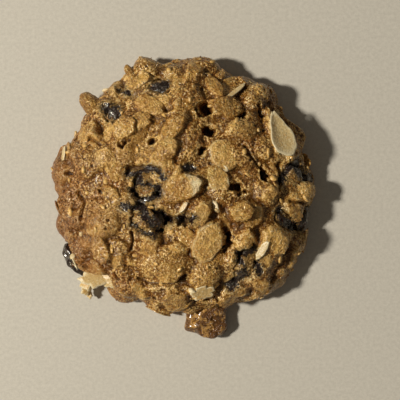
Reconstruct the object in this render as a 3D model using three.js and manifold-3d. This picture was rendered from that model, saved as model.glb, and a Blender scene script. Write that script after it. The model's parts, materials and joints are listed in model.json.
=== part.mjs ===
// An oatmeal raisin cookie: a low domed biscuit of lumpy oat dough with oat flakes fused to it,
// raisins sitting in sockets in the dough, and a nut piece caught under the rim.
// Millimetres, +Z up. The origin is the middle of the flat base.
import * as THREE from "three";
import { mergeVertices } from "three/addons/utils/BufferGeometryUtils.js";
import Module from "manifold-3d";

const wasm = await Module();
wasm.setup();

// ---------------------------------------------------------------- driving dimensions

const DOUGH = {
  radius: 28.1, // at the belly, before lobes and lumps
  crown: 12.9, // height of the smooth dome
  belly: 3, // height at which the side is widest
  foot: 0.95, // radius of the base as a share of the belly's
  flatness: 2.6, // a higher number gives a flatter top
  roundness: 1.8, // a higher number gives a squarer shoulder
  swell: { size: 1.05, azimuth: 280 }, // the dough crept to one side in the oven
  corners: { count: 3, size: 0.8, azimuth: 327 }, // and kept three blunt corners
};
// Lobes of the rim, seen from above: azimuth and width in degrees, how far each stands out.
const LOBES = [
  [358, 34, 2.4],
  [22, 22, 1],
  [49, 26, 2.4],
  [79, 28, 1.4],
  [109, 20, 2.6],
  [134, 14, 0.4],
  [172, 26, 2.1],
  [199, 18, 1.2],
  [215, 18, 1.4],
  [242, 18, 1.6],
  [266, 36, 1.3],
  [308, 46, 2.7],
  [332, 16, 0.9],
];
const DOUGH_DETAIL = 14; // the dough has 20 x (detail + 1)^2 faces
const BASE_WEIGHT = 0.22; // the flat base gets this share of the faces its area would
const MERIDIAN_STEPS = 240; // samples of the dome's section
const BLEND = 0.35; // how softly two lumps run into each other
const FIT_GAP = 0.3; // between a raisin or nut and its socket
const FACET_SAG = 0.12; // a socket's faces are flat between its corners, so it is cut this much larger
const SOCKET_GROW = FIT_GAP + FACET_SAG;

const SEED_LUMPS = 21;
const SEED_FLAKES = 58;

// Lumps that stand out: x, y, length, width, turn in degrees, height.
const LUMPS = [
  [-8, 27, 9.5, 6, 5, 2],
  [4.5, 27, 10.5, 5.5, -4, 2],
  [-16.8, 20.5, 6.5, 4, 25, 1.4],
  [-22, 14.5, 5, 6, -20, 1.6],
  [-12, 12.5, 9, 8, 20, 1.4],
  [-28.2, 2.5, 6, 8, 10, 1.6],
  [-21.5, 5, 8, 9, 60, 1.5],
  [-2.5, 10.5, 10, 6, 55, 1.9],
  [0.5, 19, 9, 9, 0, 2],
  [13.5, 11.8, 8.5, 5.8, 8, 2],
  [18.3, 8, 6, 8, 10, 1.9],
  [17.4, 21.2, 6.4, 5.6, -20, 2],
  [21.2, 18.5, 4, 6.5, 10, 1.3],
  [28.2, -1.4, 5.4, 7, -5, 1.8],
  [26, -6.6, 4.8, 5, 0, 1.6],
  [19.6, -2.6, 5, 5, 0, 1.5],
  [20.6, -13.2, 8.4, 11.6, -22, 2.5],
  [14.2, -12.6, 7, 5.6, 10, 1.9],
  [12.8, -6.4, 5.4, 4.6, 0, 1.7],
  [-4.4, -17.8, 12.4, 8.8, 6, 2.6],
  [5.2, -20.4, 9.4, 7.6, 38, 2.5],
  [10.8, -17, 4.6, 5, 0, 1.6],
  [-14.5, -15.5, 6.5, 9, -25, 1.6],
  [-18, -9, 9, 7.5, 20, 1.6],
  [-26.6, -6.2, 5, 6, 10, 1.4],
  [-25.8, -12, 4, 6.5, 10, 1.3],
  [-20, -18.8, 6, 4, 5, 1.2],
  [-13, -24, 10, 6, -12, 1.6],
  [-3, -26, 12, 5, -4, 1.3],
  [11, -24.6, 8, 4.4, 8, 1.4],
  [17.5, -21.6, 7, 5, 20, 1.4],
  [23, -20, 5, 4.6, -10, 1.4],
  [26.6, -13.6, 4.4, 7, -15, 1.3],
];
// Lumps low on the side: azimuth, height above the base, length along the rim, width, height.
const SIDE_LUMPS = [
  [171, 2.4, 12, 5.5, 1.2],
  [200, 2, 11, 4.6, 1.2],
  [213, 5.5, 9, 7, 0.9],
  [241, 3, 9, 5, 1],
  [320, 3.5, 13, 6, 0.9],
  [340, 3, 8, 5, 0.9],
  [22, 3.5, 8, 6, 0.9],
  [46, 4, 10, 6, 0.9],
  [92, 2.5, 9, 4.5, 0.7],
  [153, 3.5, 9, 5, 0.6],
];
const FILL_LUMPS = { count: 70, sizes: [5, 8], slimness: [0.65, 1], heights: [0.8, 1.7] };

// Oat flakes that stand out: x, y, length, width, turn, tip in degrees (how far the far end rises).
const FLAKE_THICKNESS = 1.7;
const FLAKE_RISE = 0.15; // of a flake's middle above the dough
const FLAKE_SIDES = 8;
const FLAKE_RINGS = 3;
const FLAKES = [
  [22.8, 10.4, 8.6, 6.2, -68, -10],
  [9.4, 6.4, 8, 6.4, -50, 5],
  [7.7, 1.2, 7, 5.2, -62, 5],
  [0.2, -0.8, 10, 6.6, 16, 3],
  [5.6, -13, 10, 6.8, 62, 4],
  [4, -7.2, 6, 4, 62, 8],
  [13.2, -6.2, 5.2, 4.2, 10, 6],
  [16.2, -7, 5.2, 2.8, 62, 12],
  [17.6, -14.6, 5.4, 2.6, 64, 14],
  [12, 23, 8.4, 5, 44, 10],
  [7.2, 22, 6.6, 3.4, -62, 8],
  [-10.5, 23, 7.2, 4.4, 18, 12],
  [-16.6, 20.8, 7, 4.4, 24, 6],
  [-7.6, 17.8, 7.8, 4.6, -34, 5],
  [-20.8, 13.6, 7, 4.4, -62, 12],
  [-2.4, 11.8, 7.6, 4, 46, 8],
  [-3.2, 7.6, 5.6, 4.4, 70, 6],
  [-26.4, 7.2, 5.6, 3.4, 64, 4],
  [4.6, -23, 5.6, 4, 30, -10],
  [11.4, -24.4, 6.2, 3.8, 8, 0],
  [19.4, -2.2, 4.8, 4, 40, 8],
  [-12.6, 12.4, 6.2, 5.4, 40, 4],
  [-20, -19.2, 6.4, 4, 8, 6],
  [26.6, -14.8, 5.6, 3.6, 60, 0],
  [13.8, -13, 6, 5, 60, 4],
  [-16.6, 11.8, 4.8, 2.6, 82, 8],
  [-18, 5.4, 6.8, 4.8, 30, 4],
  [20.6, -12.6, 7.4, 5.4, -40, 3],
];
const FILL_FLAKES = { count: 22, lengths: [5.4, 7.8], slimness: [0.6, 0.8], tips: [-12, 12] };

// Raisins: name, x, y, length, width, thickness, turn, sink of the centre below the dough.
const RAISINS = [
  ["raisin_middle_upper", -8.2, 0, 7.8, 6.8, 5, 10, 1.9],
  ["raisin_middle_lower", -8.9, -7.4, 10.4, 6.4, 5.4, -34, 1.9],
  ["raisin_left", -16, 16.8, 6.4, 5, 4.6, 20, 1.8],
  ["raisin_top", -5.6, 22, 6.8, 4.8, 4.4, 14, 1.7],
  ["raisin_under_flake", -13.4, 20.6, 4.2, 3, 2.8, -20, 0.7],
  ["raisin_right", 26, 2.4, 7.4, 5, 4.6, -30, 1.2],
  ["raisin_right_lower", 23.4, -8.4, 6.4, 4.4, 4, -35, 1.2],
  ["raisin_lower", 13.9, -18.4, 9, 5.4, 5, 66, 1.5],
];
// Raisins in the side: name, azimuth, height above the base, length, width, thickness, sink.
const SIDE_RAISINS = [
  ["raisin_left_rim", 215, 3, 9, 4.6, 5, 0.5],
  ["raisin_right_rim", 344, 4.6, 6.4, 4.4, 4.4, 0.7],
];
const RAISIN_DETAIL = 2; // 20 x (detail + 1)^2 faces
const RAISIN_FOLDS = { count: 5, depth: 0.08, twist: 2.2 };
const RAISIN_CLEARING = 1.15; // flakes keep clear of this many raisin sizes
const RAISIN_HOLLOW = { size: 1.5, depth: 0.55 }; // dip of the dough, in raisin sizes and sinks

// Deep pores in the crumb: x, y, length, width, turn, depth.
const PORES = [
  [5, 17.2, 3.4, 2.4, 70, 3],
  [6, 12, 3.4, 2.4, 0, 3.2],
  [4, 7.6, 2, 1.8, 0, 2.4],
  [13.5, 15.4, 2.4, 2.2, 0, 2.6],
  [17.6, 16.6, 2.6, 2, 0, 2.2],
  [18.7, 2.2, 3.6, 2, -58, 3],
  [12.2, -0.8, 3.2, 2.4, 0, 2.8],
  [10.2, -12.6, 4.4, 1.6, 84, 2.8],
  [-13, 9.1, 2.4, 1.8, 0, 2.2],
  [-6.5, 9.6, 2, 2.2, 0, 2.4],
  [0.3, -8.6, 3, 2, 20, 2.8],
  [6.3, -26, 3.2, 1.6, 0, 2.4],
];
const PORE_SIDES = 6;
const PORE_RINGS = 4;

// The nut piece: middle, size, and how strongly it is ridged.
const NUT = { x: 5.6, y: -31.1, length: 9.4, width: 9, height: 4.8, turn: -6, ridges: 0.07 };
const NUT_DETAIL = 3;
const NUT_SINK = 0.3; // cut off below, so it lies flat
const BLUNTNESS = 0.7; // 1 is an ellipsoid, 0 a box
// Knobs on the rim: x, y, height of the middle, length, width, turn.
const KNOB_DETAIL = 1;
const KNOBS = [
  [-21.6, 18.7, 5, 7, 3.8, 139],
  [-12.2, 25.6, 6.4, 4.4, 2.2, 116],
];
// A torn pale flake that hangs over the rim: x, y, height, length, width, turn, tip.
const SHARD = [
  [-19.4, -22.4, 4.6, 8.6, 5, 14, 4],
  [-22.4, -24.4, 3.6, 4.8, 2.6, 62, 8],
];

// ---------------------------------------------------------------- small helpers

const radians = THREE.MathUtils.degToRad;
const UP = new THREE.Vector3(0, 0, 1);

// Repeatable random numbers from 0 to 1.
function seededRandom(seed) {
  let state = seed;
  return () => {
    state = (Math.imul(1664525, state) + 1013904223) >>> 0;
    return state / 2 ** 32;
  };
}

const between = ([low, high], share) => low + (high - low) * share;

// The larger of two heights, with the corner between them rounded over.
function smoothMax(a, b, softness) {
  const overlap = Math.max(softness - Math.abs(a - b), 0) / softness;
  return Math.max(a, b) + (overlap * overlap * softness) / 4;
}

// ---------------------------------------------------------------- the smooth dome

// How far the lobes stand out at an azimuth; each is a half wave of the cosine, squared.
function lobeReach(azimuth) {
  return LOBES.reduce((reach, [middle, width, out]) => {
    const away = THREE.MathUtils.euclideanModulo(azimuth - radians(middle) + Math.PI, 2 * Math.PI) - Math.PI;
    const share = Math.abs(away) / radians(width);
    return share < 0.5 ? reach + out * Math.cos(Math.PI * share) ** 2 : reach;
  }, 0);
}

function outlineRadius(azimuth) {
  const { swell, corners } = DOUGH;
  const swelling = swell.size * Math.cos(azimuth - radians(swell.azimuth));
  const corner = corners.size * Math.cos(corners.count * (azimuth - radians(corners.azimuth)));
  return DOUGH.radius + swelling + corner + lobeReach(azimuth);
}

// Height of the dome where q is the distance from the axis as a share of the outline radius.
function crownHeight(q) {
  const share = Math.max(1 - q ** DOUGH.flatness, 0) ** (1 / DOUGH.roundness);
  return DOUGH.belly + (DOUGH.crown - DOUGH.belly) * share;
}

// Share of the outline radius at a height on the side, above or below the belly.
function sideShare(height) {
  if (height >= DOUGH.belly) {
    const share = (height - DOUGH.belly) / (DOUGH.crown - DOUGH.belly);
    return (1 - share ** DOUGH.roundness) ** (1 / DOUGH.flatness);
  }
  const drop = (DOUGH.belly - height) / DOUGH.belly;
  return 1 - (1 - DOUGH.foot) * drop ** 2;
}

// The section from the crown to the base's middle, as [share of radius, height], with the
// surface swept from the crown to each point; the base counts for less, so it gets few faces.
function makeMeridian() {
  const points = [];
  for (let i = 0; i <= MERIDIAN_STEPS; i++) {
    const q = Math.sin((i / MERIDIAN_STEPS) * (Math.PI / 2));
    points.push([q, crownHeight(q)]);
  }
  for (let i = 1; i <= MERIDIAN_STEPS; i++) {
    const height = DOUGH.belly * (1 - i / MERIDIAN_STEPS);
    points.push([sideShare(height), height]);
  }
  for (let i = 1; i <= MERIDIAN_STEPS; i++) points.push([DOUGH.foot * (1 - i / MERIDIAN_STEPS), 0]);
  let swept = 0;
  const areas = points.map(([q, z], i) => {
    if (i === 0) return 0;
    const [q0, z0] = points[i - 1];
    const band = Math.hypot((q - q0) * DOUGH.radius, z - z0) * (q + q0);
    swept += z > 0 ? band : band * BASE_WEIGHT;
    return swept;
  });
  return { points, areas, total: swept };
}
const MERIDIAN = makeMeridian();

// The dome's point and outward normal at an azimuth, below a share of the whole surface.
function domeAt(azimuth, share) {
  const { points, areas, total } = MERIDIAN;
  const target = share * total;
  let i = 1;
  while (i < areas.length - 1 && areas[i] < target) i++;
  const [q0, z0] = points[i - 1];
  const [q1, z1] = points[i];
  const along = (target - areas[i - 1]) / (areas[i] - areas[i - 1]);
  const q = q0 + (q1 - q0) * along;
  const z = z0 + (z1 - z0) * along;
  return domePoint(azimuth, q, z, [q1 - q0, z1 - z0]);
}

function domePoint(azimuth, q, z, [stepQ, stepZ]) {
  const radius = outlineRadius(azimuth);
  const outward = new THREE.Vector3(Math.cos(azimuth), Math.sin(azimuth), 0);
  const point = outward.clone().multiplyScalar(q * radius).setZ(z);
  const normal = outward.multiplyScalar(-stepZ).addScaledVector(UP, stepQ * radius).normalize();
  return { point, normal };
}

const SLOPE_STEP = 0.002; // for the slope of the section at a point
const RIM_LIMIT = 0.985; // places given from above stay this far inside the rim
const SIDE_STEP = 0.1; // the same for a point on the side, in height

function domeOver(x, y) {
  const azimuth = Math.atan2(y, x);
  const q = Math.min(Math.hypot(x, y) / outlineRadius(azimuth), RIM_LIMIT);
  const inner = Math.max(q - SLOPE_STEP, 0);
  const outer = q + SLOPE_STEP;
  const step = [outer - inner, crownHeight(outer) - crownHeight(inner)];
  return domePoint(azimuth, q, crownHeight(q), step);
}

function domeSide(azimuthDegrees, height) {
  const low = Math.max(height - SIDE_STEP, 0);
  const high = height + SIDE_STEP;
  const step = [sideShare(low) - sideShare(high), low - high];
  return domePoint(radians(azimuthDegrees), sideShare(height), height, step);
}

// A frame on the dome: its long axis lies in the surface, turned as seen from above.
function placeOn({ point, normal }, turnDegrees) {
  const turn = radians(turnDegrees);
  const aim = new THREE.Vector3(Math.cos(turn), Math.sin(turn), 0);
  const along = aim.addScaledVector(normal, -aim.dot(normal)).normalize();
  const across = new THREE.Vector3().crossVectors(normal, along);
  return { point, normal, along, across };
}

// A frame on the side, its long axis along the rim.
const placeOnSide = (azimuthDegrees, height) =>
  placeOn(domeSide(azimuthDegrees, height), azimuthDegrees + 90);

// ---------------------------------------------------------------- lumps of dough

// Evenly spread places from crown to foot, by the golden angle, with a seeded jitter.
const GOLDEN_ANGLE = Math.PI * (3 - Math.sqrt(5));
const SPREAD_END = 0.84; // share of the swept surface that lies above the foot
const SPREAD_JITTER = 0.5;

function spreadPlaces(count, random) {
  return Array.from({ length: count }, (_, i) => {
    const azimuth = (i + SPREAD_JITTER * random()) * GOLDEN_ANGLE;
    return domeAt(azimuth, (SPREAD_END * (i + random())) / count);
  });
}

function allLumps() {
  const random = seededRandom(SEED_LUMPS);
  const named = LUMPS.map(([x, y, length, width, turn, height]) =>
    ({ ...placeOn(domeOver(x, y), turn), length, width, height }));
  const side = SIDE_LUMPS.map(([azimuth, up, length, width, height]) =>
    ({ ...placeOnSide(azimuth, up), length, width, height }));
  const fill = spreadPlaces(FILL_LUMPS.count, random).map((place) => {
    const frame = placeOn(place, 180 * random());
    const length = between(FILL_LUMPS.sizes, random());
    const width = length * between(FILL_LUMPS.slimness, random());
    return { ...frame, length, width, height: between(FILL_LUMPS.heights, random()) };
  });
  return [...named, ...side, ...fill];
}

const LUMP_FULLNESS = 0.6; // under 1 a lump's sides are steep, with a crease at the foot

// Distance from the middle of a lump or raisin, 1 at its edge.
function reachFrom({ point: middle, along, across, normal, length, width }, point, grow = 1) {
  const offset = point.clone().sub(middle);
  const u = offset.dot(along) / (length / 2);
  const v = offset.dot(across) / (width / 2);
  const w = offset.dot(normal) / (length / 2);
  return Math.hypot(u, v, w) / grow;
}

const raisinPlaces = [
  ...RAISINS.map(([name, x, y, length, width, thickness, turn, sink]) =>
    ({ name, length, width, thickness, sink, ...placeOn(domeOver(x, y), turn) })),
  ...SIDE_RAISINS.map(([name, azimuth, up, length, width, thickness, sink]) =>
    ({ name, length, width, thickness, sink, ...placeOnSide(azimuth, up) })),
];
const lumps = allLumps();

// How far the dough stands proud of the smooth dome at one of its points.
function doughLift(point) {
  let lift = 0;
  for (const lump of lumps) {
    const reach = reachFrom(lump, point);
    if (reach >= 1) continue;
    lift = smoothMax(lift, lump.height * (1 - reach * reach) ** LUMP_FULLNESS, BLEND);
  }
  for (const raisin of raisinPlaces) {
    const reach = reachFrom(raisin, point, RAISIN_HOLLOW.size);
    if (reach < 1) lift -= RAISIN_HOLLOW.depth * raisin.sink * (1 - reach * reach) ** 2;
  }
  return lift;
}

const doughPoint = ({ point, normal }, rise = 0) =>
  point.clone().addScaledVector(normal, doughLift(point) + rise);

// ---------------------------------------------------------------- meshes and solids

const WELD = 1e-4; // corners closer than this are one

function toSolid(geometry) {
  geometry.deleteAttribute("normal");
  geometry.deleteAttribute("uv");
  const welded = mergeVertices(geometry, WELD);
  return new wasm.Manifold(new wasm.Mesh({
    numProp: 3,
    vertProperties: welded.attributes.position.array,
    triVerts: new Uint32Array(welded.index.array),
  }));
}

function toGeometry(solid) {
  const mesh = solid.getMesh();
  const geometry = new THREE.BufferGeometry();
  geometry.setAttribute("position", new THREE.BufferAttribute(new Float32Array(mesh.vertProperties), 3));
  geometry.setIndex(new THREE.BufferAttribute(new Uint32Array(mesh.triVerts), 1));
  geometry.computeVertexNormals();
  return geometry;
}

// A ball whose vertices are moved to where place(direction) says.
function shapeBall(detail, place) {
  const geometry = new THREE.IcosahedronGeometry(1, detail);
  const positions = geometry.attributes.position;
  const direction = new THREE.Vector3();
  for (let i = 0; i < positions.count; i++) {
    direction.fromBufferAttribute(positions, i).normalize();
    const { x, y, z } = place(direction);
    positions.setXYZ(i, x, y, z);
  }
  return geometry;
}

// The matrix of a frame whose x, y and z axes are along, across and normal.
const frameMatrix = ({ along, across, normal }, centre) =>
  new THREE.Matrix4().makeBasis(along, across, normal).setPosition(centre);

const largest = (solid) =>
  solid.decompose().reduce((best, body) => (body.volume() > best.volume() ? body : best));

const GROUND_SIZE = 120;
const GROUND = toSolid(
  new THREE.BoxGeometry(GROUND_SIZE, GROUND_SIZE, GROUND_SIZE).translate(0, 0, -GROUND_SIZE / 2));

// ---------------------------------------------------------------- the dough

function doughSolid() {
  return toSolid(shapeBall(DOUGH_DETAIL, (direction) => {
    const azimuth = Math.atan2(direction.y, direction.x);
    const place = domeAt(azimuth, (1 - direction.z) / 2);
    if (place.point.z < WELD) return place.point; // the base stays flat
    const placed = doughPoint(place);
    placed.z = Math.max(placed.z, 0);
    return placed;
  }));
}

// One oat flake: a thin oval, tipped so that its far end rises.
function flakeSolid(frame, centre, length, width, tipDegrees) {
  const lens = new THREE.SphereGeometry(1, FLAKE_SIDES, FLAKE_RINGS).rotateX(Math.PI / 2);
  lens.scale(length / 2, width / 2, FLAKE_THICKNESS / 2);
  lens.rotateY(-radians(tipDegrees));
  return toSolid(lens.applyMatrix4(frameMatrix(frame, centre)));
}

function flakeSolids() {
  const random = seededRandom(SEED_FLAKES);
  const named = FLAKES.map(([x, y, length, width, turn, tip]) =>
    ({ frame: placeOn(domeOver(x, y), turn), length, width, tip }));
  const fill = spreadPlaces(FILL_FLAKES.count, random).map((place) => {
    const frame = placeOn(place, 180 * random());
    const length = between(FILL_FLAKES.lengths, random());
    const width = length * between(FILL_FLAKES.slimness, random());
    return { frame, length, width, tip: between(FILL_FLAKES.tips, random()) };
  });
  const clear = fill.filter(({ frame }) =>
    raisinPlaces.every((raisin) => reachFrom(raisin, frame.point, RAISIN_CLEARING) > 1));
  return [...named, ...clear].map(({ frame, length, width, tip }) =>
    flakeSolid(frame, doughPoint(frame, FLAKE_RISE), length, width, tip));
}

function shardSolids() {
  return SHARD.map(([x, y, z, length, width, turn, tip]) => {
    const centre = new THREE.Vector3(x, y, z);
    const frame = placeOn({ point: centre, normal: UP }, turn);
    return flakeSolid(frame, centre, length, width, tip);
  });
}

function knobSolids() {
  return KNOBS.map(([x, y, z, length, width, turn]) => {
    const knob = new THREE.IcosahedronGeometry(1, KNOB_DETAIL).scale(length / 2, width / 2, width / 2);
    return toSolid(knob.rotateZ(radians(turn)).translate(x, y, z));
  });
}

function poreSolids() {
  return PORES.map(([x, y, length, width, turn, depth]) => {
    const frame = placeOn(domeOver(x, y), turn);
    const pore = new THREE.SphereGeometry(1, PORE_SIDES, PORE_RINGS).rotateX(Math.PI / 2);
    pore.scale(length / 2, width / 2, depth);
    return toSolid(pore.applyMatrix4(frameMatrix(frame, doughPoint(frame))));
  });
}

// ---------------------------------------------------------------- raisins and the nut

// A wrinkled raisin; its folds run along it and twist a little.
function raisinSolid(raisin) {
  const { count, depth, twist } = RAISIN_FOLDS;
  return sunkBall(raisin, 0, (direction) => {
    const around = Math.atan2(direction.z, direction.y);
    const fold = Math.cos(count * around + twist * direction.x) - 1;
    return 1 + depth * fold * (1 - direction.x ** 4);
  });
}

const socketSolid = (raisin) => sunkBall(raisin, SOCKET_GROW, () => 1);

function sunkBall(raisin, grow, sizeAt) {
  const ball = shapeBall(RAISIN_DETAIL, (direction) => {
    const half = new THREE.Vector3(raisin.length, raisin.width, raisin.thickness).multiplyScalar(0.5);
    return direction.clone().multiply(half.addScalar(grow)).multiplyScalar(sizeAt(direction));
  });
  return toSolid(ball.applyMatrix4(frameMatrix(raisin, doughPoint(raisin, -raisin.sink))));
}

// The nut piece lies on the base plane, half under the rim; a blunt block with crossing ridges.
function nutSolid(grow) {
  const half = new THREE.Vector3(NUT.length, NUT.width, NUT.height).multiplyScalar(0.5);
  const blunt = (share) => Math.sign(share) * Math.abs(share) ** BLUNTNESS;
  const ball = shapeBall(NUT_DETAIL, (direction) => {
    const { x, y, z } = direction;
    const size = 1 + NUT.ridges * (Math.sin(5 * x + 3 * z) + Math.sin(6 * y - 4 * x + 1));
    return new THREE.Vector3(blunt(x), blunt(y), blunt(z))
      .multiply(half)
      .multiplyScalar(size)
      .addScaledVector(direction, grow);
  });
  ball.rotateZ(radians(NUT.turn));
  return toSolid(ball.translate(NUT.x, NUT.y, NUT.height / 2 - NUT_SINK));
}

// ---------------------------------------------------------------- the cookie

function cookieSolid() {
  const additions = [...flakeSolids(), ...shardSolids(), ...knobSolids()];
  const fused = additions.reduce((whole, piece) => whole.add(piece), doughSolid());
  const cuts = [...raisinPlaces.map(socketSolid), ...poreSolids(), nutSolid(SOCKET_GROW), GROUND];
  return largest(cuts.reduce((whole, cut) => whole.subtract(cut), fused));
}

const DOUGH_FINISH = { color: 0xa9763c, roughness: 0.6, metalness: 0 };
const RAISIN_FINISH = { color: 0x1f1512, roughness: 0.35, metalness: 0 };
const NUT_FINISH = { color: 0x8d5f33, roughness: 0.5, metalness: 0 };

function node(name, solid, finish) {
  const mesh = new THREE.Mesh(toGeometry(solid), new THREE.MeshStandardMaterial(finish));
  mesh.name = name;
  return mesh;
}

const cookie = new THREE.Group();
cookie.add(node("cookie_dough", cookieSolid(), DOUGH_FINISH));
for (const raisin of raisinPlaces)
  cookie.add(node(raisin.name, raisinSolid(raisin).subtract(GROUND), RAISIN_FINISH));
cookie.add(node("nut_piece", nutSolid(0).subtract(GROUND), NUT_FINISH));

export default cookie;
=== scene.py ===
"""Looks of an oatmeal raisin cookie: its crumb, oat flakes, raisins, a nut piece and loose grains."""

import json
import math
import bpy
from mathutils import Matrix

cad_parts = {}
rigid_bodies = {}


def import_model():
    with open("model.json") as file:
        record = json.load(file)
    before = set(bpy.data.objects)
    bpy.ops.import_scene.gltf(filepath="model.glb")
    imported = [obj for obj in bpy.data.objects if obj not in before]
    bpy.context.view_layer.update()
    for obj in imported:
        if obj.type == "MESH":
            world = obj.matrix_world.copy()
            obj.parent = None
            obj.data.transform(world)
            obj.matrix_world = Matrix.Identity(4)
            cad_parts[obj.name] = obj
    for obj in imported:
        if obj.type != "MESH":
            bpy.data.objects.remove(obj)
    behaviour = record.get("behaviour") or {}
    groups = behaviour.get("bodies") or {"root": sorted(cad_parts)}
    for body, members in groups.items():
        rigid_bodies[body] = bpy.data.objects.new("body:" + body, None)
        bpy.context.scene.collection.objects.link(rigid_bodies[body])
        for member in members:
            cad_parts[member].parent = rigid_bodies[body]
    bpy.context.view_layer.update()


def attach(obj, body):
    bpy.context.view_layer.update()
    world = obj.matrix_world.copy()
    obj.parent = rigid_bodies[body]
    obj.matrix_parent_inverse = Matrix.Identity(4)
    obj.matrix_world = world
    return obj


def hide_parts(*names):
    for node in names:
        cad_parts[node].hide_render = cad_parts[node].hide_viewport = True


bl_info = {
    "name": "Oatmeal raisin cookie",
    "version": (1, 0, 0),
    "blender": (4, 5, 0),
    "location": "3D View > Sidebar > Cookie",
    "description": "Dresses the solids of an oatmeal raisin cookie with crumb, oat flakes and raisins",
    "category": "Object",
}

from types import SimpleNamespace

import bmesh
import bpy
import numpy as np
from bpy.props import FloatProperty, FloatVectorProperty, PointerProperty
from mathutils import Vector

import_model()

MM = 0.001  # sizes below are in millimetres and degrees, and meshes in metres


def srgb(red, green, blue):
    """A colour picked on a screen, 0 to 255, as the linear colour that shaders use."""
    shares = [value / 255 for value in (red, green, blue)]
    return tuple(s / 12.92 if s <= 0.04045 else ((s + 0.055) / 1.055) ** 2.4 for s in shares)


# ---------------------------------------------------------------- the form that the solids have

DOUGH = SimpleNamespace(
    radius=28.1,  # at the belly, before lobes and lumps
    crown=12.9,  # height of the smooth dome
    belly=3.0,  # height at which the side is widest
    foot=0.95,  # radius of the base as a share of the belly's
    flatness=2.6,  # a higher number gives a flatter top
    roundness=1.8,  # a higher number gives a squarer shoulder
    swell=(1.05, 280),  # size and azimuth of the side that crept in the oven
    corners=(3, 0.8, 327),  # count, size and azimuth of the blunt corners
)
# Lobes of the rim: azimuth, width, how far each stands out.
LOBES = [
    (358, 34, 2.4),
    (22, 22, 1.0),
    (49, 26, 2.4),
    (79, 28, 1.4),
    (109, 20, 2.6),
    (134, 14, 0.4),
    (172, 26, 2.1),
    (199, 18, 1.2),
    (215, 18, 1.4),
    (242, 18, 1.6),
    (266, 36, 1.3),
    (308, 46, 2.7),
    (332, 16, 0.9),
]
# Lumps of dough: x, y, length, width, turn, height.
LUMPS = [
    (-8, 27, 9.5, 6, 5, 2),
    (4.5, 27, 10.5, 5.5, -4, 2),
    (-16.8, 20.5, 6.5, 4, 25, 1.4),
    (-22, 14.5, 5, 6, -20, 1.6),
    (-12, 12.5, 9, 8, 20, 1.4),
    (-28.2, 2.5, 6, 8, 10, 1.6),
    (-21.5, 5, 8, 9, 60, 1.5),
    (-2.5, 10.5, 10, 6, 55, 1.9),
    (0.5, 19, 9, 9, 0, 2),
    (13.5, 11.8, 8.5, 5.8, 8, 2),
    (18.3, 8, 6, 8, 10, 1.9),
    (17.4, 21.2, 6.4, 5.6, -20, 2),
    (21.2, 18.5, 4, 6.5, 10, 1.3),
    (28.2, -1.4, 5.4, 7, -5, 1.8),
    (26, -6.6, 4.8, 5, 0, 1.6),
    (19.6, -2.6, 5, 5, 0, 1.5),
    (20.6, -13.2, 8.4, 11.6, -22, 2.5),
    (14.2, -12.6, 7, 5.6, 10, 1.9),
    (12.8, -6.4, 5.4, 4.6, 0, 1.7),
    (-4.4, -17.8, 12.4, 8.8, 6, 2.6),
    (5.2, -20.4, 9.4, 7.6, 38, 2.5),
    (10.8, -17, 4.6, 5, 0, 1.6),
    (-14.5, -15.5, 6.5, 9, -25, 1.6),
    (-18, -9, 9, 7.5, 20, 1.6),
    (-26.6, -6.2, 5, 6, 10, 1.4),
    (-25.8, -12, 4, 6.5, 10, 1.3),
    (-20, -18.8, 6, 4, 5, 1.2),
    (-13, -24, 10, 6, -12, 1.6),
    (-3, -26, 12, 5, -4, 1.3),
    (11, -24.6, 8, 4.4, 8, 1.4),
    (17.5, -21.6, 7, 5, 20, 1.4),
    (23, -20, 5, 4.6, -10, 1.4),
    (26.6, -13.6, 4.4, 7, -15, 1.3),
]
# Lumps low on the side: azimuth, height above the base, length along the rim, width, height.
SIDE_LUMPS = [
    (171, 2.4, 12, 5.5, 1.2),
    (200, 2, 11, 4.6, 1.2),
    (213, 5.5, 9, 7, 0.9),
    (241, 3, 9, 5, 1),
    (320, 3.5, 13, 6, 0.9),
    (340, 3, 8, 5, 0.9),
    (22, 3.5, 8, 6, 0.9),
    (46, 4, 10, 6, 0.9),
    (92, 2.5, 9, 4.5, 0.7),
    (153, 3.5, 9, 5, 0.6),
]
FILL_LUMPS = SimpleNamespace(count=70, lengths=(5, 8), slimness=(0.65, 1), heights=(0.8, 1.7))
SEED_LUMPS = 21
LUMP_FULLNESS = 0.6  # under 1 a lump's sides are steep, with a crease at the foot
BLEND = 0.35  # how softly two lumps run into each other

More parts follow.
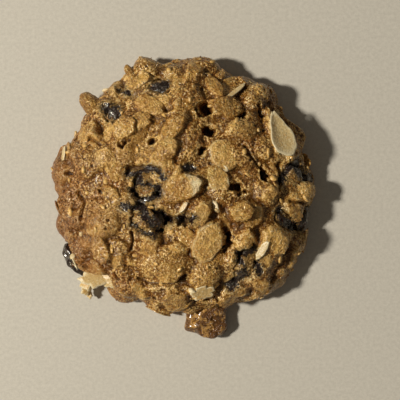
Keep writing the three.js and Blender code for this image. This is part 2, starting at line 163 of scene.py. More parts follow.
# Oat flakes: x, y, length, width, turn, tip (how far the far end rises), bareness of the
# middle and of the far end: 0 is buried under dough, and 1 is clean pale oat.
FLAKES = [
    (9.4, 6.4, 8, 6.4, -50, 5, 0.6, 0.5),
    (7.7, 1.2, 7, 5.2, -62, 5, 0.5, 0.8),
    (0.1, -0.9, 10.2, 6, 18, 8, 0.15, 1.1),
    (5.6, -13, 10, 6.8, 62, 4, 0.62, 0.62),
    (4, -7.2, 6, 4, 62, 8, 0.3, 0.5),
    (13.2, -6.2, 5.2, 4.2, 10, 6, 0.35, 0.3),
    (16.2, -7, 5.2, 2.8, 62, 12, 0.4, 0.7),
    (11.2, 22.2, 8, 4.8, 46, 8, 0.2, 0.5),
    (7.2, 22, 6.6, 3.4, -62, 8, 0.3, 0.3),
    (-10.5, 23, 7.2, 4.4, 18, 12, 0.25, 0.8),
    (-16.6, 20.8, 7, 4.4, 24, 6, 0.2, 0.2),
    (-7.6, 17.8, 7.8, 4.6, -34, 5, 0.3, 0.4),
    (-20.8, 13.6, 7, 4.4, -62, 12, 0.1, 0.1),
    (-2.4, 11.8, 7.6, 4, 46, 8, 0.3, 0.2),
    (-3.2, 7.6, 5.6, 4.4, 70, 6, 0.2, 0.4),
    (-26.4, 7.2, 5.6, 3.4, 64, 4, 0.3, 0.6),
    (4.6, -23, 5.6, 4, 30, -10, 0.45, 0.3),
    (11.4, -24.4, 6.2, 3.8, 8, 0, 0.1, 0.2),
    (19.4, -2.2, 4.8, 4, 40, 8, 0.2, 0.2),
    (-12.6, 12.4, 6.2, 5.4, 40, 4, 0.3, 0.2),
    (-20, -19.2, 6.4, 4, 8, 6, 0.1, 0.1),
    (26.6, -14.8, 5.6, 3.6, 60, 0, 0.2, 0.2),
    (13.8, -13, 6, 5, 60, 4, 0.1, 0.1),
    (-16.6, 11.8, 4.8, 2.6, 82, 8, 0.45, 0.6),
    (-18, 5.4, 6.8, 4.8, 30, 4, 0.2, 0.1),
    (20.6, -12.6, 7.4, 5.4, -40, 3, 0.15, 0.2),
]
# Clean flakes and slivers: x, y, length, width, turn, tip, roll (how far its left side, as seen
# from its near end, is raised), and how far it is sunk.
CLEAN_FLAKES = [
    (20.9, 11.3, 10.4, 5.3, -73, 0, 12, -0.5),
    (17.3, -14.7, 5, 1.7, 62, 8, -35, 0),
    (0.2, -5.3, 3, 1.1, 55, 16, -26, -0.2),
    (4.3, -23.4, 5.4, 3.4, 12, -8, 0, -0.5),
    (11.6, 20.5, 6.8, 1.2, 44, 8, -25, -0.2),
    (7.2, -5, 2.6, 1.5, -65, 16, 20, 0.1),
    (-24, -17.4, 3.4, 1.2, -65, 10, 30, 0),
    (-26.9, 6.6, 4.2, 2, 64, 8, -6, -0.1),
    (21.8, 16.4, 3.4, 1, 60, 20, -35, 0),
    (3, 24.6, 3.2, 0.9, 10, 12, 30, 0),
]
CUPPED = 0  # the first is a large deep one with a wide end and a narrow one
CUPPED_FACTS = {"taper": 0.5, "cup": 2.4, "wobble": [1.2, 1, 0, 0.3, 0.5, 0.4]}
TORN = 3  # this one has a ragged edge
TORN_FACTS = {"ragged": 5.0, "bare": 0.7}
FLAKE_CUPS = {2: 0.5, 7: 1.5}  # how hollow these coated flakes are, by row; the others are domed
FLAKE_SINKS = {7: 0.6}  # how deep these lie, by row
FILL_FLAKES = SimpleNamespace(count=22, lengths=(5.4, 7.8), slimness=(0.6, 0.8), tips=(-12, 12))
SEED_FLAKES = 58
SMALL_FLAKES = SimpleNamespace(count=150, lengths=(3, 6.8), slimness=(0.45, 0.8), tips=(2, 15))
SEED_SMALL_FLAKES = 91
RAISIN_CLEARING = 1.15  # flakes keep clear of this many raisin sizes
FLAKE_TOP = 1.0  # how far a flake's top stands above the dough
# Smooth dough with no flakes in its skin, whose middle is also painted paler as highlight: x, y, length,
# width, turn.
CALM_DOUGH = [
    (-4.4, -17.6, 10, 7, 6),
    (-18, -8.6, 9, 8, 20),
    (-10, 8.4, 12, 7, 10),
    (13.5, 11.8, 7, 5, 8),
    (-7, 27.4, 9, 5, 0),
    (5, -20.4, 8, 6, 38),
    (21.8, -12, 6, 8, -22),
    (28, -1.4, 5, 6, 0),
    (18, 21, 5, 5, 0),
    (-28, 2, 5, 8, 0),
]

# Raisins: x, y, length, width, thickness, turn, sink of the centre below the dough.
RAISINS = {
    "raisin_middle_upper": (-8.2, 0, 7.8, 6.8, 5, 10, 1.9),
    "raisin_middle_lower": (-8.9, -7.4, 10.4, 6.4, 5.4, -34, 1.9),
    "raisin_left": (-16, 16.8, 6.4, 5, 4.6, 20, 1.8),
    "raisin_top": (-5.6, 22, 6.8, 4.8, 4.4, 14, 1.7),
    "raisin_under_flake": (-13.4, 20.6, 4.2, 3, 2.8, -20, 0.7),
    "raisin_right": (26, 2.4, 7.4, 5, 4.6, -30, 1.2),
    "raisin_right_lower": (23.4, -8.4, 6.4, 4.4, 4, -35, 1.2),
    "raisin_lower": (13.9, -18.4, 9, 5.4, 5, 66, 1.5),
}
# Raisins in the side: azimuth, height above the base, length, width, thickness, sink.
SIDE_RAISINS = {
    "raisin_left_rim": (215, 3, 9, 4.6, 5, 0.5),
    "raisin_right_rim": (344, 4.6, 6.4, 4.4, 4.4, 0.7),
}
RAISIN_FOLDS = SimpleNamespace(count=5, depth=0.08, twist=2.2)
RAISIN_HOLLOW = SimpleNamespace(size=1.5, depth=0.55)  # in raisin sizes and sinks

# Deep pores in the crumb: x, y, length, width, turn, depth.
PORES = [
    (5.3, 16.8, 4.4, 3.4, 70, 3.4),
    (6, 12, 3.4, 2.4, 0, 3.2),
    (4, 7.6, 2, 1.8, 0, 2.4),
    (13.5, 15.4, 2.4, 2.2, 0, 2.6),
    (17.6, 16.6, 2.6, 2, 0, 2.2),
    (18.7, 2.2, 3.6, 2, -58, 3),
    (12, -0.7, 3.8, 2.9, 0, 3),
    (10.2, -12.6, 4.4, 1.6, 84, 2.8),
    (-13, 9.1, 2.4, 1.8, 0, 2.2),
    (-6.5, 9.6, 2, 2.2, 0, 2.4),
    (0.3, -8.6, 3, 2, 20, 2.8),
    (6.3, -26, 3.2, 1.6, 0, 2.4),
    (-26.2, 1.6, 1.4, 1.4, 0, 1.6),
    (-18.7, -1.5, 1.2, 1.2, 0, 1.6),
    (-22.9, 8.1, 1, 1, 0, 1.2),
    (-6.3, -25.8, 1.3, 1, 0, 1.5),
]
# Cracks between lumps: width, depth, and the line that each follows as x, y pairs.
CRACKS = [
    (0.5, 1.6, [(-15, 1.8), (-12, 3.4), (-9, 3.9), (-5, 3.2)]),
    (0.6, 2.2, [(-5, -9.5), (-3, -8), (0, -8)]),
    (1.2, 2.4, [(-4.7, -7), (-4.4, -8.6), (-5, -10)]),
    (0.3, 1.4, [(-11.6, -11), (-11.3, -13), (-11.8, -15)]),
    (0.4, 1.2, [(-17, -18), (-14.5, -21.5)]),
    (0.4, 1.4, [(-10, -21.6), (-8, -22.5), (-1.5, -22.3), (0.4, -20.8)]),
    (0.28, 1.0, [(14, 8), (14.6, 6.6), (16.2, 5), (18, 3)]),
    (0.35, 1.3, [(15.6, -13.4), (17.4, -15.6)]),
    (0.35, 1.0, [(0.6, 24.6), (3.6, 25)]),
    (0.45, 1.5, [(10, 20), (12.4, 20.4), (14, 22)]),
    (0.5, 1.6, [(-19.4, 14.4), (-18.8, 12)]),
    (0.4, 1.2, [(-23, 9.4), (-20.4, 10.2), (-18.6, 8.8)]),
    (0.4, 1.3, [(9.6, -10), (10.2, -13), (9.4, -15.6)]),
    (0.35, 1.1, [(-24, -2), (-22.4, -4.6), (-23, -8)]),
    (0.4, 1.4, [(21.6, 4.6), (22.4, 1.4), (21.8, -1.4)]),
    (0.35, 1.0, [(24.4, -4), (28, -4.4)]),
]

# Where raisin skin shows bare among the dough: half width, and its line as x, y pairs.
SKIN_LINES = [
    (0.4, [(-12.4, 2), (-10, 2.6)]),
    (0.6, [(-9.4, 2.7), (-8, 3.2), (-6.4, 3.4), (-5.4, 2.8)]),
    (0.35, [(-5.2, 2.4), (-4.1, 1)]),
    (0.6, [(-9.6, 1.6), (-9.5, 0.6), (-10.6, 0), (-11.3, -1)]),
    (0.55, [(-11.2, -1.4), (-10.8, -2.6), (-10.2, -3.4)]),
    (0.3, [(-9.6, -0.1), (-7.8, -0.2), (-6.8, -0.6)]),
    (0.95, [(-5.7, -1.2), (-5.4, -2.3)]),
    (0.55, [(-6.2, -2.9), (-7.6, -3.5), (-9.2, -3.7)]),
    (1.0, [(-9.5, -4.1), (-9.1, -5.4)]),
    (0.8, [(-13.2, -4.9), (-12.6, -4.9)]),
    (0.4, [(-12, -5.1), (-11, -5.3), (-9.8, -5.6)]),
    (0.8, [(-8.8, -6), (-8.3, -7.2), (-7.4, -8.2), (-6.6, -9.4)]),
    (0.45, [(-6.8, -5.6), (-6.2, -6.6), (-6.4, -8)]),
    (1.3, [(-4.9, -7.4), (-4.9, -8.8)]),
    (0.7, [(-5.2, -10), (-5.8, -11)]),
    (0.6, [(-4.4, -7.6), (-2.8, -8.4)]),
    (0.5, [(-11.3, -9), (-10.6, -9.5)]),
    (0.35, [(-9.6, -10.7), (-8, -11.2), (-6.2, -11.4)]),
    (0.7, [(-0.5, -8.1), (0.2, -7.6)]),
    (0.5, [(2, -8.4), (2.5, -7.6)]),
    (0.6, [(1, 3.6), (2, 3.1)]),
    (1.2, [(-16.9, 16.8), (-15.6, 17.1)]),
    (0.8, [(-16.2, 15.9), (-15.2, 15.8)]),
    (0.9, [(-6.6, 21.8), (-5.2, 22.1)]),
    (1.0, [(-4.8, 21.5), (-4, 22.6)]),
    (0.4, [(-14.4, 21.2), (-13.4, 21.1), (-12, 20.6)]),
    (0.85, [(25, 4.6), (26.4, 2.8), (28, 1.7), (29.4, 1.3)]),
    (0.6, [(22.5, 0.6), (23.4, 2.4), (24.4, 4.2)]),
    (0.9, [(21.8, -6.2), (22.6, -7.8), (24, -9), (25.4, -10)]),
    (0.7, [(12.9, -15.7), (14.6, -15.4), (16, -15)]),
    (0.5, [(12.7, -16.4), (13.4, -18)]),
    (0.55, [(16.6, -17.8), (17, -19.6)]),
    (1.0, [(14, -20.2), (12.4, -21.4), (10.8, -22.8)]),
]

NUT = SimpleNamespace(x=6.1, y=-31.3, length=9.4, width=9, height=4.8, turn=-6, ridges=0.07)
NUT_SINK = 0.3  # cut off below, so it lies flat
BLUNTNESS = 0.7  # 1 is an ellipsoid, 0 a box
# Knobs on the rim: x, y, height of the middle, length, width, turn.
KNOBS = [(-21.2, 18.4, 5, 7, 4.4, 139), (-12.2, 25.6, 6.4, 4.4, 2.4, 116)]
# Torn pale flake over the rim, in crumpled pieces: x, y, height, length, width, turn, tip, roll.
SHARD = [
    (-19.8, -21.6, 6, 7.6, 4.4, 4, -6, -14),
    (-17.6, -22, 6, 4.6, 3.4, -35, 8, 14),
    (-22, -22.2, 5.6, 4.8, 3.4, 62, 8, -20),
    (-22.5, -24.2, 3.4, 4.2, 2.5, 74, 18, 24),
    (-22.1, -25.7, 2, 2.6, 1.5, 112, -4, -20),
]


class Draws:
    """Repeatable random numbers from 0 to 1, the same ones as the solids use."""

    def __init__(self, seed):
        self.state = seed

    def next(self):
        self.state = (1664525 * self.state + 1013904223) % 2**32
        return self.state / 2**32

    def between(self, low, high):
        return low + (high - low) * self.next()


def smooth_max(a, b, softness):
    overlap = np.maximum(softness - np.abs(a - b), 0) / softness
    return np.maximum(a, b) + overlap * overlap * softness / 4


def lobe_reach(azimuth):
    reach = np.zeros_like(azimuth)
    for middle, width, out in LOBES:
        away = (azimuth - math.radians(middle) + math.pi) % (2 * math.pi) - math.pi
        share = np.abs(away) / math.radians(width)
        reach = reach + np.where(share < 0.5, out * np.cos(math.pi * share) ** 2, 0)
    return reach


def outline_radius(azimuth):
    size, middle = DOUGH.swell
    swelling = size * np.cos(azimuth - math.radians(middle))
    count, size, middle = DOUGH.corners
    corner = size * np.cos(count * (azimuth - math.radians(middle)))
    return DOUGH.radius + swelling + corner + lobe_reach(azimuth)


def crown_height(q):
    """Height of the dome at q, the distance from the axis as a share of the outline radius."""
    share = np.maximum(1 - q**DOUGH.flatness, 0) ** (1 / DOUGH.roundness)
    return DOUGH.belly + (DOUGH.crown - DOUGH.belly) * share


def side_share(height):
    """Share of the outline radius at a height on the side, above or below the belly."""
    if height >= DOUGH.belly:
        share = (height - DOUGH.belly) / (DOUGH.crown - DOUGH.belly)
        return (1 - share**DOUGH.roundness) ** (1 / DOUGH.flatness)
    drop = (DOUGH.belly - height) / DOUGH.belly
    return 1 - (1 - DOUGH.foot) * drop**2


class Meridian:
    """The dome's section from crown to base, swept round; the base counts for less of it."""

    STEPS = 240

    def __init__(self, base_weight):
        share = np.arange(self.STEPS + 1) / self.STEPS
        crown_q = np.sin(share * math.pi / 2)
        side_z = DOUGH.belly * (1 - share[1:])
        side_q = np.array([side_share(z) for z in side_z])
        base_q = DOUGH.foot * (1 - share[1:])
        self.q = np.concatenate([crown_q, side_q, base_q])
        self.z = np.concatenate([crown_height(crown_q), side_z, 0 * base_q])
        lengths = np.hypot(np.diff(self.q) * DOUGH.radius, np.diff(self.z))
        bands = lengths * (self.q[1:] + self.q[:-1])
        weights = np.where(self.z[1:] > 0, 1, base_weight)
        self.swept = np.concatenate([[0], np.cumsum(bands * weights)])

    def at(self, azimuth, share):
        """Points and outward normals below a share of the whole surface."""
        target = share * self.swept[-1]
        i = np.clip(np.searchsorted(self.swept, target), 1, len(self.q) - 1)
        along = (target - self.swept[i - 1]) / (self.swept[i] - self.swept[i - 1])
        step_q = self.q[i] - self.q[i - 1]
        step_z = self.z[i] - self.z[i - 1]
        q = self.q[i - 1] + step_q * along
        z = self.z[i - 1] + step_z * along
        return dome_point(azimuth, q, z, step_q, step_z)


def dome_point(azimuth, q, z, step_q, step_z):
    radius = outline_radius(azimuth)
    cos, sin = np.cos(azimuth), np.sin(azimuth)
    point = np.stack([q * radius * cos, q * radius * sin, z + 0 * azimuth], -1)
    normal = np.stack([-step_z * cos, -step_z * sin, step_q * radius], -1)
    return point, normal / np.linalg.norm(normal, axis=-1, keepdims=True)


SLOPE_STEP = 0.002  # for the slope of the section at a point
RIM_LIMIT = 0.985  # places given from above stay this far inside the rim
SIDE_STEP = 0.1


def dome_over(x, y):
    azimuth = np.float64(math.atan2(y, x))
    q = min(math.hypot(x, y) / outline_radius(azimuth), RIM_LIMIT)
    inner, outer = max(q - SLOPE_STEP, 0), q + SLOPE_STEP
    fall = crown_height(outer) - crown_height(inner)
    return dome_point(azimuth, q, crown_height(q), outer - inner, fall)


def dome_side(azimuth, height):
    low, high = max(height - SIDE_STEP, 0), height + SIDE_STEP
    step_q = side_share(low) - side_share(high)
    return dome_point(np.float64(math.radians(azimuth)), side_share(height), height, step_q, low - high)


def place_on(point, normal, turn, **sizes):
    """A frame on the dome: its long axis lies in the surface, turned as seen from above."""
    aim = np.array([math.cos(math.radians(turn)), math.sin(math.radians(turn)), 0])
    along = aim - normal * (aim @ normal)
    along /= np.linalg.norm(along)
    across = np.cross(normal, along)
    return SimpleNamespace(point=point, normal=normal, along=along, across=across, **sizes)


def oval_over(x, y, length, width, turn, trim=1.0, **sizes):
    """A frame on the dome at x, y, with the length and width of an oval."""
    return place_on(*dome_over(x, y), turn, length=length * trim, width=width * trim, **sizes)


def oval_beside(azimuth, up, length, width, **sizes):
    """The same in the dome's side, with its long axis along the rim."""
    return place_on(*dome_side(azimuth, up), azimuth + 90, length=length, width=width, **sizes)


def oval_at(x, y, z, length, width, turn):
    """The same at a point off the dome, and level."""
    return place_on(np.array([x, y, z]), np.array([0, 0, 1.0]), turn, length=length, width=width)


GOLDEN_ANGLE = math.pi * (3 - math.sqrt(5))
SPREAD_END = 0.84  # share of the swept surface that lies above the foot
SPREAD_JITTER = 0.5
PLACING = Meridian(base_weight=0.22)


def spread_places(count, draws):
    """Evenly spread places from crown to foot, by the golden angle, with a seeded jitter."""
    places = []
    for i in range(count):
        azimuth = (i + SPREAD_JITTER * draws.next()) * GOLDEN_ANGLE
        share = SPREAD_END * (i + draws.next()) / count
        places.append(PLACING.at(np.float64(azimuth), share))
    return places


def spread_ovals(kind, values, seed, turns=180, trim=1.0):
    """Ovals of one kind over the whole dome, each with a value drawn from a range."""
    draws = Draws(seed)
    for spot in spread_places(kind.count, draws):
        turn = turns * draws.next()
        length = draws.between(*kind.lengths)
        width = length * draws.between(*kind.slimness)
        oval = place_on(*spot, turn, length=length * trim, width=width * trim)
        yield oval, draws.between(*values)


def all_lumps():
    lumps = [oval_over(*oval, height=height) for *oval, height in LUMPS]
    lumps += [oval_beside(*oval, height=height) for *oval, height in SIDE_LUMPS]
    for lump, height in spread_ovals(FILL_LUMPS, FILL_LUMPS.heights, SEED_LUMPS):
        lump.height = height
        lumps.append(lump)
    return lumps


def all_raisins():
    raisins = {}
    for name, (x, y, length, width, thickness, turn, sink) in RAISINS.items():
        raisins[name] = oval_over(x, y, length, width, turn, thickness=thickness, sink=sink)
    for name, (*oval, thickness, sink) in SIDE_RAISINS.items():
        raisins[name] = oval_beside(*oval, thickness=thickness, sink=sink)
    return raisins


LUMP_PLACES = all_lumps()
RAISIN_PLACES = all_raisins()


def reach_from(item, points, grow=1):
    """Distance from the middle of a lump or raisin, 1 at its edge."""
    offset = points - item.point
    u = offset @ item.along / (item.length / 2)
    v = offset @ item.across / (item.width / 2)
    w = offset @ item.normal / (item.length / 2)
    return np.sqrt(u * u + v * v + w * w) / grow


def within(points, centre, radius):
    """Numbers of the points that lie within a radius of a centre."""
    return np.flatnonzero(((points - centre) ** 2).sum(1) < radius**2)


def dough_lift(points):
    """How far the dough stands proud of the smooth dome at its points."""
    lift = np.zeros(len(points))
    for lump in LUMP_PLACES:
        near = within(points, lump.point, lump.length / 2)
        reach = reach_from(lump, points[near])
        near, reach = near[reach < 1], reach[reach < 1]
        rise = lump.height * (1 - reach * reach) ** LUMP_FULLNESS
        lift[near] = smooth_max(lift[near], rise, BLEND)
    for raisin in RAISIN_PLACES.values():
        reach = np.minimum(reach_from(raisin, points, RAISIN_HOLLOW.size), 1)
        lift -= RAISIN_HOLLOW.depth * raisin.sink * (1 - reach * reach) ** 2
    return lift


def dough_point(item, rise=0.0):
    return item.point + item.normal * (dough_lift(item.point[None])[0] + rise)


def axes_of(item):
    return np.stack([item.along, item.across, item.normal])


def ellipsoid_of(raisin):
    """A raisin's centre and its half sizes."""
    halves = np.array([raisin.length, raisin.width, raisin.thickness]) / 2
    return dough_point(raisin, -raisin.sink), halves


# ---------------------------------------------------------------- noise on arrays of points


def lattice_hash(cells, seed):
    """A repeatable random number from 0 to 1 for each row of whole numbers."""
    x, y, z = (cells[..., i].astype(np.int64).astype(np.uint32) for i in range(3))
    mixed = x * np.uint32(73856093) ^ y * np.uint32(19349663) ^ z * np.uint32(83492791)
    mixed ^= np.uint32(seed * 2654435761 % 2**32)
    mixed ^= mixed >> np.uint32(16)
    mixed *= np.uint32(2246822519)
    mixed ^= mixed >> np.uint32(13)
    mixed *= np.uint32(3266489917)
    mixed ^= mixed >> np.uint32(16)
    return mixed / 2**32


def soft_noise(points, size, seed):
    """Smooth noise from -1 to 1 whose bumps are about size apart."""
    spot = points / size
    corner = np.floor(spot)
    part = spot - corner
    part = part * part * (3 - 2 * part)
    total = np.zeros(len(points))
    for step in np.ndindex(2, 2, 2):
        weight = np.prod(np.where(step, part, 1 - part), axis=1)
        total += weight * lattice_hash(corner + step, seed)
    return 2 * total - 1


def layered_noise(points, size, seed, layers=3):
    total = sum(soft_noise(points, size / 2**i, seed + i) / 2**i for i in range(layers))
    return total / (2 - 2 ** (1 - layers))


def noise_vectors(points, size, seeds, layers=2):
    """Three noises as the parts of a vector, to shift points by."""
    return np.stack([layered_noise(points, size, seed, layers) for seed in seeds], -1)


def cell_noise(points, size, seed):
    """Distance to the nearest of many scattered spots about size apart, and that spot's number."""
    home = np.floor(points / size)
    best = np.full(len(points), np.inf)
    number = np.zeros(len(points))
    for step in np.ndindex(3, 3, 3):
        cell = home + step - 1
        spot = np.stack([lattice_hash(cell, seed + i) for i in range(3)], -1)
        away = np.sqrt((((cell + spot) * size - points) ** 2).sum(1))
        closer = away < best
        best = np.where(closer, away, best)
        number = np.where(closer, lattice_hash(cell, seed + 3), number)
    return best, number


def smooth_step(values, low, high):
    share = np.clip((values - low) / (high - low), 0, 1)
    return share * share * (3 - 2 * share)


# ---------------------------------------------------------------- meshes


def geodesic_ball(frequency):
    """Unit directions and triangles of an icosahedron whose faces are split frequency times."""
    seed = bmesh.new()
    bmesh.ops.create_icosphere(seed, subdivisions=1, radius=1)
    corners = [[np.array(v.co) for v in face.verts] for face in seed.faces]
    seed.free()
    points, triangles = [], []
    row, column = np.array([(i, j) for i in range(frequency + 1) for j in range(frequency + 1 - i)]).T
    index = {(i, j): n for n, (i, j) in enumerate(zip(row.tolist(), column.tolist()))}
    split = []
    for i, j in index:
        if i + j < frequency:
            split.append((index[i, j], index[i + 1, j], index[i, j + 1]))
        if i + j < frequency - 1:
            split.append((index[i + 1, j], index[i + 1, j + 1], index[i, j + 1]))
    split = np.array(split)
    for n, (a, b, c) in enumerate(corners):
        points.append(a + np.outer(row, b - a) / frequency + np.outer(column, c - a) / frequency)
        triangles.append(split + n * len(row))
    points, triangles = np.concatenate(points), np.concatenate(triangles)
    points /= np.linalg.norm(points, axis=1, keepdims=True)
    _, first, welded = np.unique(np.round(points * 1e5), axis=0, return_index=True, return_inverse=True)
    return points[first], welded.ravel()[triangles]


def link_object(name, data):
    """A new object of the scene, at the origin and unturned."""
    thing = bpy.data.objects.new(name, data)
    bpy.context.scene.collection.objects.link(thing)
    return thing


def make_piece(name, points, faces, finish, attributes=None):
    """A smooth mesh object in the row frame, from points in millimetres."""
    mesh = bpy.data.meshes.new(name)
    mesh.from_pydata((points * MM).tolist(), [], faces.tolist())
    mesh.shade_smooth()
    mesh.materials.append(finish)
    for key, values in (attributes or {}).items():
        mesh.attributes.new(key, "FLOAT", "POINT").data.foreach_set("value", values.astype(np.float32))
    return link_object(name, mesh)


def settle(piece, slot, *nodes):
    """Ties a finished piece to the body and hides the solids that it stands for; the material slot is not
    used.
    """
    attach(piece, "root")
    if nodes:
        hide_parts(*nodes)


def neighbour_mean(values, triangles, rounds):
    """Values blurred over a mesh by taking the mean of the neighbours again and again."""
    ends = np.concatenate([triangles[:, [0, 1]], triangles[:, [1, 2]], triangles[:, [2, 0]]])
    count = np.bincount(ends[:, 0], minlength=len(values)) + 1
    for _ in range(rounds):
        near = np.bincount(ends[:, 0], weights=values[ends[:, 1]], minlength=len(values))
        values = (values + near) / count
    return values


def ray_span(points, normals, centre, axes, halves):
    """Where lines along the normals enter and leave an ellipsoid; nan where they miss it."""
    start = (points - centre) @ axes.T / halves
    aim = normals @ axes.T / halves
    a = (aim * aim).sum(1)
    b = (start * aim).sum(1)
    c = (start * start).sum(1) - 1
    root = np.sqrt(np.where(b * b > a * c, b * b - a * c, np.nan))
    return (-b - root) / a, (-b + root) / a


def above_tray(points):
    """The points, with those below the tray raised to it."""
    points[:, 2] = np.maximum(points[:, 2], 0)
    return points


# ---------------------------------------------------------------- oat flakes

HIDDEN = 0.25  # flakes no barer than this at either end lie under the dough
BARE_ENOUGH = 0.65  # flakes barer than this show clean oat
DEEP_ENOUGH = 0.7  # flakes sunk further than this are only a swelling of the crumb
SINKS = SimpleNamespace(laid=0.15, strewn=0.3, buried=0.8)  # how far flakes are pressed in
THICKNESS = SimpleNamespace(laid=0.6, small=0.5, shard=0.7)  # with the film of dough
CLEAN_THICKNESS = (0.35, 0.05)  # of the thinnest, and more for each millimetre of width
DOMED = -0.9  # how hollow most flakes are: below 0 they bulge
CHORD = (0.7, 1.3)  # a broken flake ends in a straight edge this far from its middle
FLAKE_TRIM = 0.94  # a flake with a blunt edge looks larger than the solid's lens
FLAKE_CLEARING = 0.85  # small flakes stay off this share of a large one
FLAKE_CLEARANCE = 0.1  # a flake low on the rim is raised to be this far above the tray
FLAKE_NOISE = (1.9, 71)  # size of the bumps and seed
FLAKE_ROUGHNESS = 0.3
FLAKE_SPOKES = 44
FLAKE_RINGS = (0.16, 0.32, 0.47, 0.6, 0.72, 0.82, 0.9, 0.96, 1.0)
UNDER_RINGS = (0.93, 0.6)

CALM_PLACES = [oval_over(*oval) for oval in CALM_DOUGH]
MOUTH_GROWTH = 3.0  # strewn flakes stay this far off a deep pore, in all
PORE_MOUTHS = [
    oval_over(x, y, length + MOUTH_GROWTH, width + MOUTH_GROWTH, turn)
    for x, y, length, width, turn, _ in PORES
]


def swing(forward, up, degrees):
    """Two square directions turned so that forward goes up by the angle."""
    cos, sin = math.cos(math.radians(degrees)), math.sin(math.radians(degrees))
    return forward * cos + up * sin, up * cos - forward * sin


def add_flake(flakes, place, tip, draws, roll=0, **facts):
    """Lays a flake on the dough, of one of three kinds: clean, coated or buried."""
    sunk = facts.get("sunk", 0)
    place.centre = dough_point(place, FLAKE_TOP - sunk - facts["thickness"] / 2)
    place.along, place.normal = swing(place.along, place.normal, tip)
    place.across, place.normal = swing(place.across, place.normal, roll)
    place.wobble = [draws.between(-1, 1) for _ in range(6)]
    place.tone = draws.next()
    place.end = facts["bare"]
    place.ragged = 1.0
    place.chord = 2.0
    place.taper = 0.0
    place.cup = DOMED
    vars(place).update(facts)
    place.kind = "clean" if place.bare > BARE_ENOUGH else "coated"
    if sunk > DEEP_ENOUGH:
        place.kind = "buried"
    flakes.append(place)


def bareness(flake, u):
    """How bare the flake is at u along it, from -1 to 1."""
    return flake.bare + (flake.end - flake.bare) * smooth_step(u, 0.1, 0.5)


def named_flakes(shapes):
    """The flakes whose places are given, coated ones first."""
    flakes = []
    for n, (*oval, tip, bare, end) in enumerate(FLAKES):
        place = oval_over(*oval, trim=FLAKE_TRIM)
        sunk = FLAKE_SINKS.get(n, SINKS.laid) if max(bare, end) > HIDDEN else SINKS.buried
        facts = {"bare": bare, "end": end, "sunk": sunk, "cup": FLAKE_CUPS.get(n, DOMED)}
        add_flake(flakes, place, tip, shapes, thickness=THICKNESS.laid, **facts)
    thinnest, growth = CLEAN_THICKNESS
    for n, (*oval, tip, roll, sunk) in enumerate(CLEAN_FLAKES):
        place = oval_over(*oval)
        facts = {"thickness": thinnest + growth * place.width, "bare": 1.0, "sunk": sunk, "cup": 1.0}
        if n == CUPPED:
            facts |= CUPPED_FACTS
        if n == TORN:
            facts |= TORN_FACTS
        add_flake(flakes, place, tip, shapes, roll, **facts)
    return flakes


def strewn_flakes(shapes, taken):
    """Large and then small flakes all over the dough, off the raisins and the deep pores."""
    flakes = []
    for place, tip in spread_ovals(FILL_FLAKES, FILL_FLAKES.tips, SEED_FLAKES, trim=FLAKE_TRIM):
        facts = {"bare": 0.4 * shapes.next(), "chord": shapes.between(*CHORD), "ragged": 2.0}
        facts["sunk"] = SINKS.strewn if clear_of(CALM_PLACES, place.point, 1) else SINKS.buried
        if clear_of(RAISIN_PLACES.values(), place.point, RAISIN_CLEARING):
            add_flake(flakes, place, tip, shapes, thickness=THICKNESS.laid, **facts)
    for place, tip in spread_ovals(SMALL_FLAKES, SMALL_FLAKES.tips, SEED_SMALL_FLAKES, turns=360):
        facts = {"bare": 0.64 * shapes.next() ** 1.6, "sunk": 0.55 + 0.5 * shapes.next()}
        facts |= {"chord": shapes.between(*CHORD), "ragged": 2.2}
        free = clear_of(RAISIN_PLACES.values(), place.point, RAISIN_CLEARING)
        if free and clear_of(taken, place.point, FLAKE_CLEARING):
            add_flake(flakes, place, tip, shapes, thickness=THICKNESS.small, **facts)
    return [flake for flake in flakes if clear_of(PORE_MOUTHS, flake.point, 1)]


def all_flakes():
    """Every oat flake that lies on the dough, largest first."""
    shapes = Draws(SEED_SMALL_FLAKES + 1)
    flakes = named_flakes(shapes)
    return flakes + strewn_flakes(shapes, CALM_PLACES + flakes)


def clear_of(items, point, clearing):
    return all(reach_from(item, point[None], clearing)[0] > 1 for item in items)


def flake_outline(flake, angle):
    """How far the flake's edge is from its middle at an angle, as a share of the oval's."""
    a, b, c, d, e, f = flake.wobble
    egg = 0.09 * a * np.cos(angle) + 0.05 * b * np.cos(2 * angle + 3 * c)
    ragged = 0.045 * np.sin(5 * angle + 3 * d) + 0.035 * np.sin(9 * angle + 3 * e)
    ragged += 0.02 * np.sin(14 * angle + 5 * b)
    broken = flake.chord / np.maximum(np.cos(angle - math.pi * c), 0.01)
    return np.minimum(1 + egg, broken) + (0.5 + 0.5 * abs(f)) * flake.ragged * ragged


def flake_bend(flake, u, v):
    """Height of the flake's middle sheet at u along and v across, both -1 to 1."""
    a, b, c, *_ = flake.wobble
    cup = 0.055 * flake.width * (0.7 + 0.4 * b) * flake.cup
    arch = 0.02 * flake.length * (a + flake.cup)
    return cup * (v * v - 0.4) + arch * (u * u - 0.4) + 0.05 * c * u * v * flake.width


